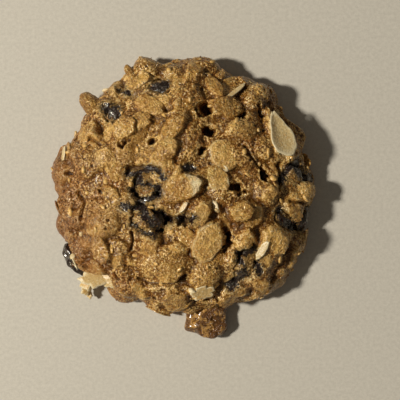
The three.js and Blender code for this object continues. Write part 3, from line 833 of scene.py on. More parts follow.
def flake_mesh(flake):
    """One flake as a closed shell: an oval sheet with a blunt ragged edge."""
    angle = np.arange(FLAKE_SPOKES) / FLAKE_SPOKES * 2 * math.pi
    edge = flake_outline(flake, angle)
    half = flake.thickness / 2
    rows, marks = [], []
    rings = [(r, 1) for r in FLAKE_RINGS] + [(r, -1) for r in UNDER_RINGS]
    for r, side in [(0, 1)] + rings + [(0, -1)]:
        spokes = angle if r else angle[:1]
        reach = r * (edge if r else edge[:1])
        u, v = reach * np.cos(spokes), reach * np.sin(spokes)
        height = flake_bend(flake, u, v) + side * half * (1 - r**6) ** 0.5
        half_width = flake.width / 2 * (1 + flake.taper * u)
        rows.append(np.stack([u * flake.length / 2, v * half_width, height + 0 * u], -1))
        marks.append(np.full(len(spokes), r if side > 0 else 1.0))
    local = np.concatenate(rows)
    points = flake.centre + local @ axes_of(flake)
    faces = fan_faces(FLAKE_SPOKES, len(rings))
    return points, faces, np.concatenate(marks), local[:, 0] / (flake.length / 2)


def fan_faces(spokes, rings):
    """Triangles of a closed shell: a pole, rings of spokes, and a second pole."""
    k = np.arange(spokes)
    after = (k + 1) % spokes
    faces = [np.stack([0 * k, 1 + k, 1 + after], -1)]
    for ring in range(rings - 1):
        a, b = 1 + ring * spokes, 1 + (ring + 1) * spokes
        faces.append(np.stack([a + k, b + k, b + after], -1))
        faces.append(np.stack([a + k, b + after, a + after], -1))
    last = 1 + (rings - 1) * spokes
    faces.append(np.stack([last + k, 0 * k + 1 + rings * spokes, last + after], -1))
    return np.concatenate(faces)


def join_meshes(parts):
    """Points, faces and other per-point arrays of many meshes as one."""
    start, faces = 0, []
    for points, triangles, *_ in parts:
        faces.append(triangles + start)
        start += len(points)
    return [np.concatenate([p[0] for p in parts]), np.concatenate(faces)] + [
        np.concatenate([p[i] for p in parts]) for i in range(2, len(parts[0]))
    ]


def flakes_mesh(flakes):
    """All of these flakes as one mesh, with the marks that their finish reads."""
    parts = []
    for flake in flakes:
        points, faces, edge, u = flake_mesh(flake)
        away = layered_noise(points, *FLAKE_NOISE) * FLAKE_ROUGHNESS * (1.1 - 0.8 * flake.bare)
        points = points + flake.normal * away[:, None]
        points[:, 2] += max(FLAKE_CLEARANCE - points[:, 2].min(), 0)
        parts.append((points, faces, edge, u * 0 + flake.tone, bareness(flake, u), away))
    points, faces, edge, tone, bare, away = join_meshes(parts)
    marks = {"edge": smooth_step(edge, 0.75, 0.95), "tone": tone, "bare": bare}
    marks["plate"] = 1 + 0 * tone
    marks["calm"] = 0 * tone
    # Bumps on the flakes, painted paler as highlight, and their dips painted darker as shade.
    marks["peak"] = smooth_step(away, 0, 0.25)
    marks["cavity"] = smooth_step(-away, 0.05, 0.4)
    return points, faces, marks | browning(points)


def shard_flakes():
    """The torn flake that hangs over the rim, in crumpled pieces."""
    draws = Draws(SEED_SMALL_FLAKES + 2)
    shards = []
    for *oval, tip, roll in SHARD:
        place = oval_at(*oval)
        add_flake(shards, place, tip, draws, roll, thickness=THICKNESS.shard, bare=0.75, ragged=3.0)
        place.centre = place.point
    return shards


# ---------------------------------------------------------------- the crumb body

BODY_FREQUENCY = 97  # 20 x frequency^2 faces
KNOB_FREQUENCY = 16
BODY_BASE_WEIGHT = 0.03  # the flat base needs few faces
PLATE_DROP = (0.2, 0.6)  # the dough under a flake stops this far below its top, more or less
MOST_FILM = 0.15  # the dough over a coated flake stands up to this far above its top
PLATE_SKIRT = 2.0  # slope of the dough that runs up to a flake's edge
BURIED_SKIRT = 2.4  # slope of a buried flake's own edge
BURIED_CROWN = 0.3  # a buried flake is this much higher in the middle than at its edge
HIGHEST_STEP = 1.7  # from the dough up to a flake's edge
PLATE_BLEND = 0.2  # how softly a flake's edge runs into the dough

PORE_SPREAD = 1.1  # a ragged pore is a little wider than the solid's clean one
THIN_COVER = 0.8  # dough thinner than this over a raisin has pulled away
SKIN_DIP = 0.45  # bare raisin skin lies this far below the dough around it
FILM_WIDTH = 1.5  # dough round bare skin is a thin dull film for this far
TOASTED_AND_SHADED_SIDE = np.array([-0.97, -0.24])  # the side that browned the most, and is also darkened as painted shade; it faces the lamp
TOAST_AND_SHADE_START, TOAST_AND_SHADE_END = 15, 29  # how far out to that side the browning and the painted shade begin, and are full
ON_TOP = 0.2  # cracks and bare skin show only where the surface faces up more than this
SHEER = 0.5  # a flake lifts only the dough that faces its way more than this
PRESS_MARGIN = 2  # how far past its tips a flake still lifts the dough
PLATE_EDGE = 0.92  # share of a flake past which the dough falls away from it
CLEAN_MIDDLE = 0.85  # share of a clean flake under which the dough keeps below it
MARKED = 1.05  # share of a flake up to which the dough carries its marks
LACE = 0.22  # how lacy the edge of bare raisin skin is
BLURS = SimpleNamespace(wide=40, narrow=5, plate=3, soft=2)  # rounds of neighbour_mean
CUT_MARGIN = 5  # how far past a raisin's half length its socket is looked for
CRACK_WOBBLE = 0.5  # how unevenly wide a crack is
PORE_FLOOR = 1.4  # depth of a small pore in its own radii

# Noises that shape the dough: size of the bumps in millimetres, and seed or seeds.
WARP_NOISE = (2.8, (41, 43, 47))
SWELL_NOISE = (3.2, 5)
GRIT_NOISE = (0.5, 17)
CRACK_NOISE = (1.4, 31)
FILM_NOISE = (2.2, 37)
PORE_EDGE_NOISE = (0.9, (51, 53, 57))
SKIN_EDGE_NOISE = (1.1, (61, 63, 67))
LACE_NOISE = (0.7, 69)
KNOB_NOISE = (2.2, 87)
SEED_GRAINS = 11
SEED_SMALL_PORES = 23


def skin_nearness(points):
    """1 on the lines where raisin skin shows, 0.5 at its edge, and 0 where the dough is thick."""
    ragged = points + 0.5 * noise_vectors(points, *SKIN_EDGE_NOISE)
    near = np.zeros(len(points))
    for width, line in SKIN_LINES:
        past = crack_distance(ragged, line) - width
        near = np.maximum(near, 0.5 - 0.5 * np.where(past > 0, past / FILM_WIDTH, past / width))
    return near


def skin_shows(points, near):
    """How far bare raisin skin shows, 0 to 1, with a lacy edge."""
    return smooth_step(near + LACE * layered_noise(points, *LACE_NOISE, 2), 0.42, 0.56)


def crack_distance(points, line):
    """Distance in plan from a line of x, y points."""
    best = np.full(len(points), np.inf)
    for (x0, y0), (x1, y1) in zip(line, line[1:]):
        start = np.array([x0, y0], float)
        step = np.array([x1 - x0, y1 - y0], float)
        share = np.clip((points[:, :2] - start) @ step / (step @ step), 0, 1)
        away = points[:, :2] - start - share[:, None] * step
        best = np.minimum(best, np.hypot(away[:, 0], away[:, 1]))
    return best


def press_plate(points, normals, lift, marks, flake):
    """Raises the dough over a buried flake, or to about a shell's top, and marks what it covers."""
    near = within(points, flake.point, flake.length / 2 + PRESS_MARGIN)
    aim = normals[near] @ flake.normal
    near, aim = near[aim > SHEER], aim[aim > SHEER]
    rise = ((flake.centre - points[near]) @ flake.normal) / aim
    away = points[near] + normals[near] * rise[:, None] - flake.centre
    u = away @ flake.along / (flake.length / 2)
    v = away @ flake.across / (flake.width / 2 * (1 + flake.taper * np.clip(u, -1, 1)))
    reach = np.hypot(u, v) / flake_outline(flake, np.arctan2(v, u))
    past = np.maximum(reach - PLATE_EDGE, 0) * flake.width / 2
    if flake.kind == "buried":
        height = rise - BURIED_CROWN * reach**2 - BURIED_SKIRT * past
    else:
        least, spread = PLATE_DROP
        drop = least + spread * layered_noise(points[near], *FILM_NOISE, 2)
        drop = np.maximum(drop, least if flake.kind == "clean" else -MOST_FILM)
        height = rise - drop - PLATE_SKIRT * past
    height += flake_bend(flake, u, v) + flake.thickness / 2
    height = np.minimum(height, lift[near] + HIGHEST_STEP)
    above = height > lift[near]
    if flake.kind == "clean":
        lift[near] = np.where(reach < CLEAN_MIDDLE, np.minimum(lift[near], height), lift[near])
    lift[near] = smooth_max(lift[near], height, PLATE_BLEND)
    on_top = above & (reach < MARKED)
    inside = near[on_top]
    marks["plate"][inside] = 1
    marks["tone"][inside] = flake.tone
    marks["bare"][inside] = bareness(flake, u[on_top])
    marks["edge"][inside] = smooth_step(reach[on_top], 0.75, 0.95)


def cut_ellipsoid(points, normals, lift, centre, axes, halves, mark, cover=0.0):
    """Cuts an ellipsoid out of the dough, where the dough stands inside it or covers it thinly, and sets
    the mark there, which the finish paints as shade.
    """
    near = within(points, centre, max(halves) + CUT_MARGIN)
    low, high = ray_span(points[near], normals[near], centre, axes, halves)
    inside = (lift[near] > low) & (lift[near] < high + cover)
    lift[near[inside]] = low[inside]
    mark[near[inside]] = 1


def roughen(points, normals, lift, triangles, marks, settings):
    """Adds swells, grains, grit, cracks and small pores to the dough, less so on flakes."""
    covered = neighbour_mean(marks["plate"], triangles, BLURS.plate)
    crumb = 1 - 0.85 * np.maximum(covered, 0.7 * marks["calm"])
    proud = points + normals * lift[:, None]
    lift += settings.roughness * crumb * layered_noise(proud, *SWELL_NOISE)
    grain, _ = cell_noise(proud, settings.grain, SEED_GRAINS)
    lift += settings.grain_height * crumb * (0.5 - smooth_step(grain, 0, 0.75 * settings.grain))
    lift = neighbour_mean(lift, triangles, BLURS.soft)
    lift += settings.grit * (0.4 + 0.6 * crumb) * soft_noise(proud, *GRIT_NOISE)
    wobble = 1 + CRACK_WOBBLE * soft_noise(proud, *CRACK_NOISE)
    for width, depth, line in CRACKS:
        away = crack_distance(points, line)
        lift -= depth * np.exp(-((away / (width * wobble)) ** 2)) * (normals[:, 2] > ON_TOP)
    pore, number = cell_noise(proud, settings.pore_spacing, SEED_SMALL_PORES)
    pore_size = settings.pore_size * np.maximum(number - 0.3, 0) / 0.7
    dip = np.clip(1 - (pore / np.maximum(pore_size, 1e-3)) ** 2, 0, 1) * (1 - 0.6 * marks["plate"])
    lift -= PORE_FLOOR * pore_size * dip
    # The small pores' hole mark is painted as shade.
    marks["hole"] = np.maximum(marks["hole"], smooth_step(dip, 0.1, 0.7))
    return lift


def open_up(points, warped, normals, lift, marks):
    """Cuts the deep pores and the raisins' sockets; returns how far raisin skin shows."""
    ragged = warped + 0.7 * noise_vectors(points, *PORE_EDGE_NOISE, layers=1)
    for *oval, depth in PORES:
        reach = np.minimum(reach_from(oval_over(*oval, trim=PORE_SPREAD), ragged), 1)
        lift -= depth * (1 - reach**2)
        # The deep pores' hole mark is painted as shade.
        marks["hole"] = np.maximum(marks["hole"], smooth_step(reach, 0.85, 0.4))
    marks["skin"] = skin_nearness(points) * (normals[:, 2] > ON_TOP)
    shows = skin_shows(points, marks["skin"])
    lift -= SKIN_DIP * shows
    for raisin in RAISIN_PLACES.values():
        centre, halves = ellipsoid_of(raisin)
        cut_ellipsoid(ragged, normals, lift, centre, axes_of(raisin), halves, marks["hole"], THIN_COVER)
    return shows


def crumb_body(settings):
    """The dough's dense skin in millimetres, its triangles and the marks its finish reads."""
    directions, triangles = geodesic_ball(BODY_FREQUENCY)
    azimuth = np.arctan2(directions[:, 1], directions[:, 0])
    points, normals = Meridian(BODY_BASE_WEIGHT).at(azimuth, (1 - directions[:, 2]) / 2)
    warped = points + settings.warp * noise_vectors(points, *WARP_NOISE)
    lift = dough_lift(warped)
    marks = {key: np.zeros(len(points)) for key in ("plate", "tone", "bare", "hole", "edge")}
    marks["tone"] += 0.5
    marks["calm"] = calmness(warped)
    for flake in FLAKE_PLACES:
        press_plate(warped if flake.kind == "buried" else points, normals, lift, marks, flake)
    lift = roughen(points, normals, lift, triangles, marks, settings)
    shows = open_up(points, warped, normals, lift, marks)
    lift[points[:, 2] < 1e-6] = 0  # the base stays flat
    skin = above_tray(points + normals * lift[:, None])

    # Marks of the hollows, heights and fine relief, which the finish paints as shade in the hollows and
    # as highlight on the heights.
    depth = neighbour_mean(lift, triangles, BLURS.wide) - lift
    marks["cavity"] = smooth_step(depth, 0.05, 0.9)
    marks["peak"] = smooth_step(-depth, 0.0, 0.6)
    marks["fine"] = np.clip((lift - neighbour_mean(lift, triangles, BLURS.narrow)) / 0.12, -1, 1)
    marks |= browning(skin)
    for key in ("plate", "tone", "bare"):
        marks[key] = neighbour_mean(marks[key], triangles, BLURS.soft)
    bare_places = 1 - np.maximum(marks["hole"], shows)
    marks["room"] = bare_places * (1 - 0.7 * marks["plate"]) * smooth_step(skin[:, 2], 1, 2.5)
    return skin, triangles, marks


def rim_knobs():
    """The knobs of dough that stick out of the rim, as one mesh, with its marks."""
    directions, triangles = geodesic_ball(KNOB_FREQUENCY)
    parts = []
    for knob in KNOBS:
        place = oval_at(*knob)
        outward = directions @ axes_of(place)
        halves = np.array([place.length, place.width, place.width]) / 2
        points = place.point + (directions * halves) @ axes_of(place)
        away = 0.45 * layered_noise(points, *KNOB_NOISE)
        parts.append((points + outward * away[:, None], triangles, away))
    points, triangles, away = join_meshes(parts)
    # The knobs' bumps are painted paler as highlight, and the knobs count as calm, which paints them
    # paler too.
    marks = {"calm": 1 + 0 * away, "peak": smooth_step(away, 0, 0.3)}
    return points, triangles, marks | browning(points)


def calmness(points):
    """1 in the middle of the smooth places of the dough, and 0 outside them."""
    calm = np.zeros(len(points))
    for place in CALM_PLACES:
        calm = np.maximum(calm, smooth_step(-reach_from(place, points), -1.15, -0.75))
    return calm


def browning(points):
    """Marks of the heat near the tray, and of the side that browned the most, the side towards the lamp,
    which is also darkened there as painted shade.
    """
    low = smooth_step(-points[:, 2], -5.5, -0.5)
    return {"low": low, "toast_and_shade": smooth_step(points[:, :2] @ TOASTED_AND_SHADED_SIDE, TOAST_AND_SHADE_START, TOAST_AND_SHADE_END)}


# ---------------------------------------------------------------- raisins and the nut

RAISIN_FREQUENCY = 26
RAISIN_SEEDS = (100, 7)  # of the first raisin, and the step from one to the next
NUT_FREQUENCY = 40
NUT_CRAGS = (3.2, 201, 4)  # size of the bumps in millimetres, seed and layers
NUT_RIDGES = (3.4, 207)
NUT_PITS = (2.2, 211)


def wrinkled_raisin(raisin, directions, depth, number, on_side):
    """A raisin's skin: the solid's folds with finer wrinkles on them, under patches of dough."""
    seed = RAISIN_SEEDS[0] + RAISIN_SEEDS[1] * number
    x, y, z = directions.T
    fold = np.cos(RAISIN_FOLDS.count * np.arctan2(z, y) + RAISIN_FOLDS.twist * x) - 1
    size = 1 + RAISIN_FOLDS.depth * fold * (1 - x**4)
    centre, halves = ellipsoid_of(raisin)
    local = directions * halves * size[:, None]
    stretched = local * [0.6, 1, 1] + seed
    ridge = 1 - np.abs(soft_noise(stretched + 0.5 * directions, 1.5, seed)) * 2
    fine = 1 - np.abs(soft_noise(stretched, 0.7, seed + 2)) * 2
    points = centre + local @ axes_of(raisin)
    if on_side:
        skin = 0.68 + 0.5 * layered_noise(points, 2.4, seed)
    else:
        skin = skin_nearness(points)
    shows = skin_shows(points, skin)
    swell = depth * (0.7 * ridge + 0.3 * fine - 0.6) * (0.4 + 0.6 * shows) + 0.3 * (1 - shows)
    local += directions * swell[:, None]
    points = above_tray(centre + local @ axes_of(raisin))
    # The dough film on a raisin gets a share of the painted highlight of peaks.
    marks = {"skin": skin, "peak": 0.4 * (1 - shows), "tone": 0.5 + 0 * skin}
    return points, marks | browning(points)


def nut_crags(depth):
    """The nut piece: the solid's blunt form with ridges, crags and pits."""
    directions, triangles = geodesic_ball(NUT_FREQUENCY)
    x, y, z = directions.T
    blunt = np.sign(directions) * np.abs(directions) ** BLUNTNESS
    size = 1 + NUT.ridges * (np.sin(5 * x + 3 * z) + np.sin(6 * y - 4 * x + 1))
    local = blunt * [NUT.length / 2, NUT.width / 2, NUT.height / 2] * size[:, None]
    ridge = 1 - 2 * np.abs(soft_noise(local * [1, 0.5, 1], *NUT_RIDGES))
    pit, number = cell_noise(local, *NUT_PITS)
    pitted = smooth_step(-pit, -0.9, -0.2) * (number > 0.4)
    crag = layered_noise(local, *NUT_CRAGS) + 1.3 * ridge - 0.9 * pitted
    local += directions * (depth * crag)[:, None]
    cos, sin = math.cos(math.radians(NUT.turn)), math.sin(math.radians(NUT.turn))
    spin = np.array([[cos, -sin, 0], [sin, cos, 0], [0, 0, 1]])
    return above_tray(local @ spin.T + [NUT.x, NUT.y, NUT.height / 2 - NUT_SINK]), triangles


# ---------------------------------------------------------------- finishes


class Wire:
    """An output socket of a material; sums and products of wires add Math nodes."""

    def __init__(self, finish, socket):
        self.finish = finish
        self.socket = socket

    def __add__(self, other):
        return self.finish.number("ADD", self, other)

    def __sub__(self, other):
        return self.finish.number("SUBTRACT", self, other)

    def __rsub__(self, other):
        return self.finish.number("SUBTRACT", other, self)

    def __mul__(self, other):
        return self.finish.number("MULTIPLY", self, other)

    __radd__ = __add__
    __rmul__ = __mul__

    def clamped(self):
        return self.finish.number("ADD", self, 0.0, use_clamp=True)

    def ramp(self, low, high):
        """0 below low and 1 above high, or the other way round if low is the larger."""
        inputs = {"Value": self, "From Min": low, "From Max": high}
        return self.finish.add("ShaderNodeMapRange", {"interpolation_type": "SMOOTHSTEP"}, inputs)


class Tree:
    """A node tree whose nodes are added by expressions."""

    def __init__(self, tree):
        self.tree = tree
        self.tree.nodes.clear()

    def add(self, kind, settings=None, inputs=None, output=0):
        """Adds a node: its settings first, then the values or wires of its sockets."""
        node = self.tree.nodes.new(kind)
        for key, value in (settings or {}).items():
            setattr(node, key, value)
        for key, value in (inputs or {}).items():
            if isinstance(value, Wire):
                self.tree.links.new(value.socket, node.inputs[key])
            else:
                node.inputs[key].default_value = value
        return Wire(self, node.outputs[output]) if node.outputs else None

    def number(self, operation, a, b, use_clamp=False):
        settings = {"operation": operation, "use_clamp": use_clamp}
        return self.add("ShaderNodeMath", settings, {0: a, 1: b})


class Finish(Tree):
    """A material's tree."""

    MIX_A, MIX_B, MIX_COLOUR = 6, 7, 2

    def __init__(self, name):
        self.material = bpy.data.materials.new(name)
        self.material.use_nodes = True
        super().__init__(self.material.node_tree)
        self.place = self.add("ShaderNodeTexCoord", output="Object")

    def mark(self, name):
        """One of the piece's own attributes."""
        return self.add("ShaderNodeAttribute", {"attribute_name": name}, output="Fac")

    def noise(self, size, detail=2.0, roughness=0.5, distortion=0.0):
        """Noise from 0 to 1 whose bumps are about size millimetres across."""
        inputs = {"Vector": self.place, "Scale": 1 / (size * MM), "Detail": detail}
        inputs |= {"Roughness": roughness, "Distortion": distortion}
        return self.add("ShaderNodeTexNoise", None, inputs, "Fac")

    def cells(self, size):
        """Distance to the nearest of many scattered spots about size millimetres apart."""
        inputs = {"Vector": self.place, "Scale": 1 / (size * MM)}
        return self.add("ShaderNodeTexVoronoi", None, inputs, "Distance")

    def blend(self, a, b, factor):
        inputs = {"Factor": factor}
        for key, colour in ((self.MIX_A, a), (self.MIX_B, b)):
            inputs[key] = colour if isinstance(colour, Wire) else (*colour, 1.0)
        return self.add("ShaderNodeMix", {"data_type": "RGBA"}, inputs, self.MIX_COLOUR)

    def bump(self, height, depth, strength=1.0, under=None):
        """A normal tilted by height, whose full range is depth millimetres."""
        inputs = {"Height": height, "Distance": depth * MM, "Strength": strength}
        if under:
            inputs["Normal"] = under
        return self.add("ShaderNodeBump", None, inputs)

    def shade(self, **inputs):
        """Ends the tree with a Principled shader; names use _ for a space."""
        inputs = {key.replace("_", " "): value for key, value in inputs.items()}
        shader = self.add("ShaderNodeBsdfPrincipled", None, inputs)
        self.add("ShaderNodeOutputMaterial", None, {"Surface": shader})
        return self.material


def dough_finish(name, colours, raisin):
    """Baked oat dough, with raisin skin where the skin mark says so.

    Its heights are painted golden as highlight and its hollows and pores painted dark as shade; it is
    redder at the foot, and redder and darker on the side towards the lamp, partly as painted shade.
    """
    f = Finish(name)
    plate, tone, bare = f.mark("plate"), f.mark("tone"), f.mark("bare")
    cavity, peak, low, hole = f.mark("cavity"), f.mark("peak"), f.mark("low"), f.mark("hole")
    skin, fine, calm = f.mark("skin"), f.mark("fine"), f.mark("calm")
    patches = f.noise(9, detail=3)
    tint = f.noise(4.2, detail=2, distortion=0.6)
    wrinkles = f.noise(0.8, detail=2, distortion=1.2)
    mottle = f.noise(1.3, detail=4, roughness=0.65)
    grit = f.noise(0.36, detail=2, roughness=0.65)
    speckled = f.noise(3.5, detail=1).ramp(0.38, 0.62) * (0.7 - 0.35 * plate) + 0.3
    # Tiny pores too small for the mesh, painted dark as shade and dipped in the bump.
    pits = f.cells(0.7).ramp(0.3, 0.12) * f.noise(2.5).ramp(0.42, 0.55) * (1 - 0.8 * plate)
    lace = f.noise(0.5, detail=2, roughness=0.6)
    smooth = plate * (0.7 * bare + f.noise(2.2, detail=2).ramp(0.38, 0.62)).clamped()
    smooth = (smooth + 0.7 * calm).clamped()
    grainy = (0.4 + 0.6 * f.noise(4, detail=1).ramp(0.4, 0.6)) * (1 - 0.7 * smooth)
    beads = (0.45 - f.cells(0.8)) * grainy
    wrinkled = smooth * (wrinkles - 0.5)

    # The film of dough, thin where a flake is bare, and a pale rim at such a flake's edge, partly clean
    # oat and partly a painted highlight on the edge.
    colour = f.blend(colours.crumb, colours.flake, (0.55 * plate + 0.8 * patches - 0.3).clamped())
    even = (0.8 * bare * plate).clamped()
    thin = (1.5 * bare + 0.6 * tone * plate - 0.2).clamped()
    oaty = thin * (mottle.ramp(0.34, 0.56) * (1 - even) + even)
    colour = f.blend(colour, colours.pale, oaty)
    broken = f.noise(2.6, detail=1).ramp(0.34, 0.56)
    rim = (3.2 * bare - 2.45 + 1.5 * f.mark("edge")).clamped() * 0.85 * broken
    colour = f.blend(colour, f.blend(colours.pale, colours.oat, bare.ramp(0.2, 1)), rim)
    # Patches that browned, or stayed pale and dull, and blotches of crumb on the flakes.
    colour = f.blend(colour, colours.brown, mottle.ramp(0.5, 0.36) * 0.4 * (1 - rim) * (1 - even))
    rusty = tint.ramp(0.5, 0.64) * (0.6 - 0.4 * plate - 0.35 * calm).clamped()
    colour = f.blend(colour, colours.rust, rusty)
    colour = f.blend(colour, colours.milky, tint.ramp(0.44, 0.34) * 0.3)
    blotches = f.noise(1.7, detail=2).ramp(0.49, 0.6) * plate * (0.75 - 0.6 * bare)
    colour = f.blend(colour, colours.crumb, blotches)
    # Painted shade in the hollows; painted highlight on the heights, on the calm places and on the fine
    # relief; the toasted side, partly painted shade, and the foot; bright specks as painted glints, and
    # dark specks as painted shade in the fine relief's dips.
    colour = f.blend(colour, colours.brown, cavity * 0.75)
    high = 0.5 + (grit - 0.5) * (1 - 0.3 * smooth) + 0.08 * fine + 0.25 * beads + 0.6 * wrinkled
    toast_and_shade = f.mark("toast_and_shade")
    # Painted highlight: paler on the peaks, on the calm places and on the tops of the fine relief.
    lit = peak * 0.38 + calm * 0.22 * (1 - toast_and_shade) + high.ramp(0.5, 0.62) * speckled
    colour = f.blend(colour, colours.pale, lit.clamped())
    # Bright specks on the highest points of the fine relief: painted glints.
    grain = f.blend(colours.pale, colours.oat, 0.5)
    colour = f.blend(colour, grain, high.ramp(0.6, 0.68) * 0.9)
    colour = f.blend(colour, colours.foot, (low * 0.65 + toast_and_shade * 0.65).clamped())
    # Darker specks in the dips of the fine relief: painted shade.
    specks = high.ramp(0.5, 0.41) * (0.95 - 0.6 * smooth - 0.3 * bare).clamped()
    colour = f.blend(colour, colours.brown, specks)
    # Painted shade in the pores, tiny pits, round the raisins' sockets and in deep hollows.
    sunken = (hole * 0.9 + pits * 0.8 + (cavity - 0.6).clamped()).clamped()
    colour = f.blend(colour, colours.deep, sunken)
    # Raisin skin under a thin film of dough, or bare.
    filmed = (skin.ramp(0.0, 0.5) * 0.6 + 0.5 * (lace - 0.5)).clamped()
    colour = f.blend(colour, raisin.film, filmed)
    # Lighter on the tops of the fine relief and darker in its dips: painted highlight and shade on the
    # skin.
    wrinkle = f.blend(raisin.dark, raisin.light, grit.ramp(0.5, 0.7))
    # Pale specks on the highest points of the skin: painted glints.
    wrinkle = f.blend(wrinkle, raisin.painted_glint, grit.ramp(0.6, 0.7) * mottle.ramp(0.45, 0.55))
    bared = (skin + 1.2 * lace - 0.6).ramp(0.44, 0.56)
    colour = f.blend(colour, wrinkle, bared)
    # Relief too fine for the mesh, and shine.
    relief = beads + 0.6 * mottle * (1 - even) + 1.8 * wrinkled - 0.3 * pits
    normal = f.bump(grit * (1 - 0.5 * smooth), 0.21, 1.0, f.bump(relief, 0.35, 1.0))
    dulled = (0.14 * f.noise(0.9, detail=2) + 0.2 * cavity) * (1 - bared)
    rough = 0.07 + 0.1 * bared + dulled
    wet = 0.05 + 0.95 * bared
    inputs = {"Specular_IOR_Level": 0.75, "Specular_Tint": (1, 0.9, 0.68, 1), "IOR": 1.5}
    inputs |= {"Subsurface_Weight": 0.1, "Subsurface_Scale": MM, "Coat_Roughness": 0.1}
    return f.shade(Base_Color=colour, Roughness=rough, Coat_Weight=wet, Normal=normal, **inputs)


def bare_finish(colours):
    """Clean rolled oat: pale, mottled with the coated flake's colour, specked, and paler at the edge,
    partly as a painted highlight.
    """
    f = Finish("bare oat")
    tone, bare, edge = f.mark("tone"), f.mark("bare"), f.mark("edge")
    mottle = f.noise(1.4, detail=4, roughness=0.6)
    specks = f.noise(0.34, detail=1)
    colour = f.blend(colours.pale, colours.husk, bare)
    colour = f.blend(colour, colours.flake, mottle.ramp(0.52, 0.68) * (0.8 - 0.4 * bare) + 0.15 * tone)
    # A paler edge of clean oat, partly a painted highlight.
    colour = f.blend(colour, colours.oat, edge * 0.85)
    # Brown specks in the fine bump's dips and pale specks on its tops: painted shade and painted glints.
    colour = f.blend(colour, colours.brown, specks.ramp(0.42, 0.32) * 0.2)
    colour = f.blend(colour, colours.oat, specks.ramp(0.56, 0.68) * 0.6)
    normal = f.bump(f.noise(0.6, detail=3), 0.2, 0.8, f.bump(specks, 0.1, 0.8))
    return f.shade(Base_Color=colour, Roughness=0.12 + 0.25 * mottle, Normal=normal, IOR=1.5)


def nut_finish(colours):
    """A toasted nut piece: patches of brown skin and caramel flesh, the flesh on the heights of its fine
    bump and the skin in its dips.
    """
    f = Finish("toasted nut")
    mottle = f.noise(1.6, detail=5, roughness=0.62, distortion=0.6)
    specks = f.noise(0.4, detail=3, roughness=0.7)
    colour = f.blend(colours.skin, colours.flesh, mottle.ramp(0.46, 0.6))
    # Darker in the dips of the fine bump: painted shade in the pits.
    colour = f.blend(colour, colours.dark, specks.ramp(0.46, 0.36) * 0.8)
    normal = f.bump(mottle, 1.1, 1.0, f.bump(specks, 0.35, 1.0))
    inputs = {"Coat_Weight": 0.5, "Coat_Roughness": 0.12, "IOR": 1.5}
    return f.shade(Base_Color=colour, Roughness=0.12 + 0.2 * specks, Normal=normal, **inputs)


def floor_finish(colour):
    """Pale matt card, very slightly mottled."""
    f = Finish("pale card")
    mottle = f.noise(0.8, detail=5, roughness=0.8)
    shade = f.blend(colour, tuple(0.84 * c for c in colour), mottle.ramp(0.3, 0.7))
    return f.shade(Base_Color=shade, Roughness=0.75)


# ---------------------------------------------------------------- loose grains

# Their shape, least and most half sizes in millimetres, how far they lean, and seed.
GRAINS = SimpleNamespace(
    shape=("GeometryNodeMeshIcoSphere", None, {"Radius": 1.0, "Subdivisions": 1}),
    smallest=(0.15, 0.15, 0.12),
    largest=(0.42, 0.34, 0.28),
    lean=math.pi,
    seed=5,
)
OAT_BITS = SimpleNamespace(
    shape=("GeometryNodeMeshCylinder", None, {"Vertices": 9, "Radius": 1.0, "Depth": 2.0}),
    smallest=(0.5, 0.35, 0.1),
    largest=(1.2, 0.7, 0.25),
    lean=0.6,
    seed=9,
)
STREWN_SOCKETS = {
    "Surface": "Geometry",
    "Spacing": "Float",
    "Seed": "Int",
    "Smallest": "Vector",
    "Largest": "Vector",
}
MOST_DENSE = 4e6  # pieces to a square metre, before the spacing thins them
UNEVENNESS = 0.5  # size and depth of the noise on each piece, in millimetres


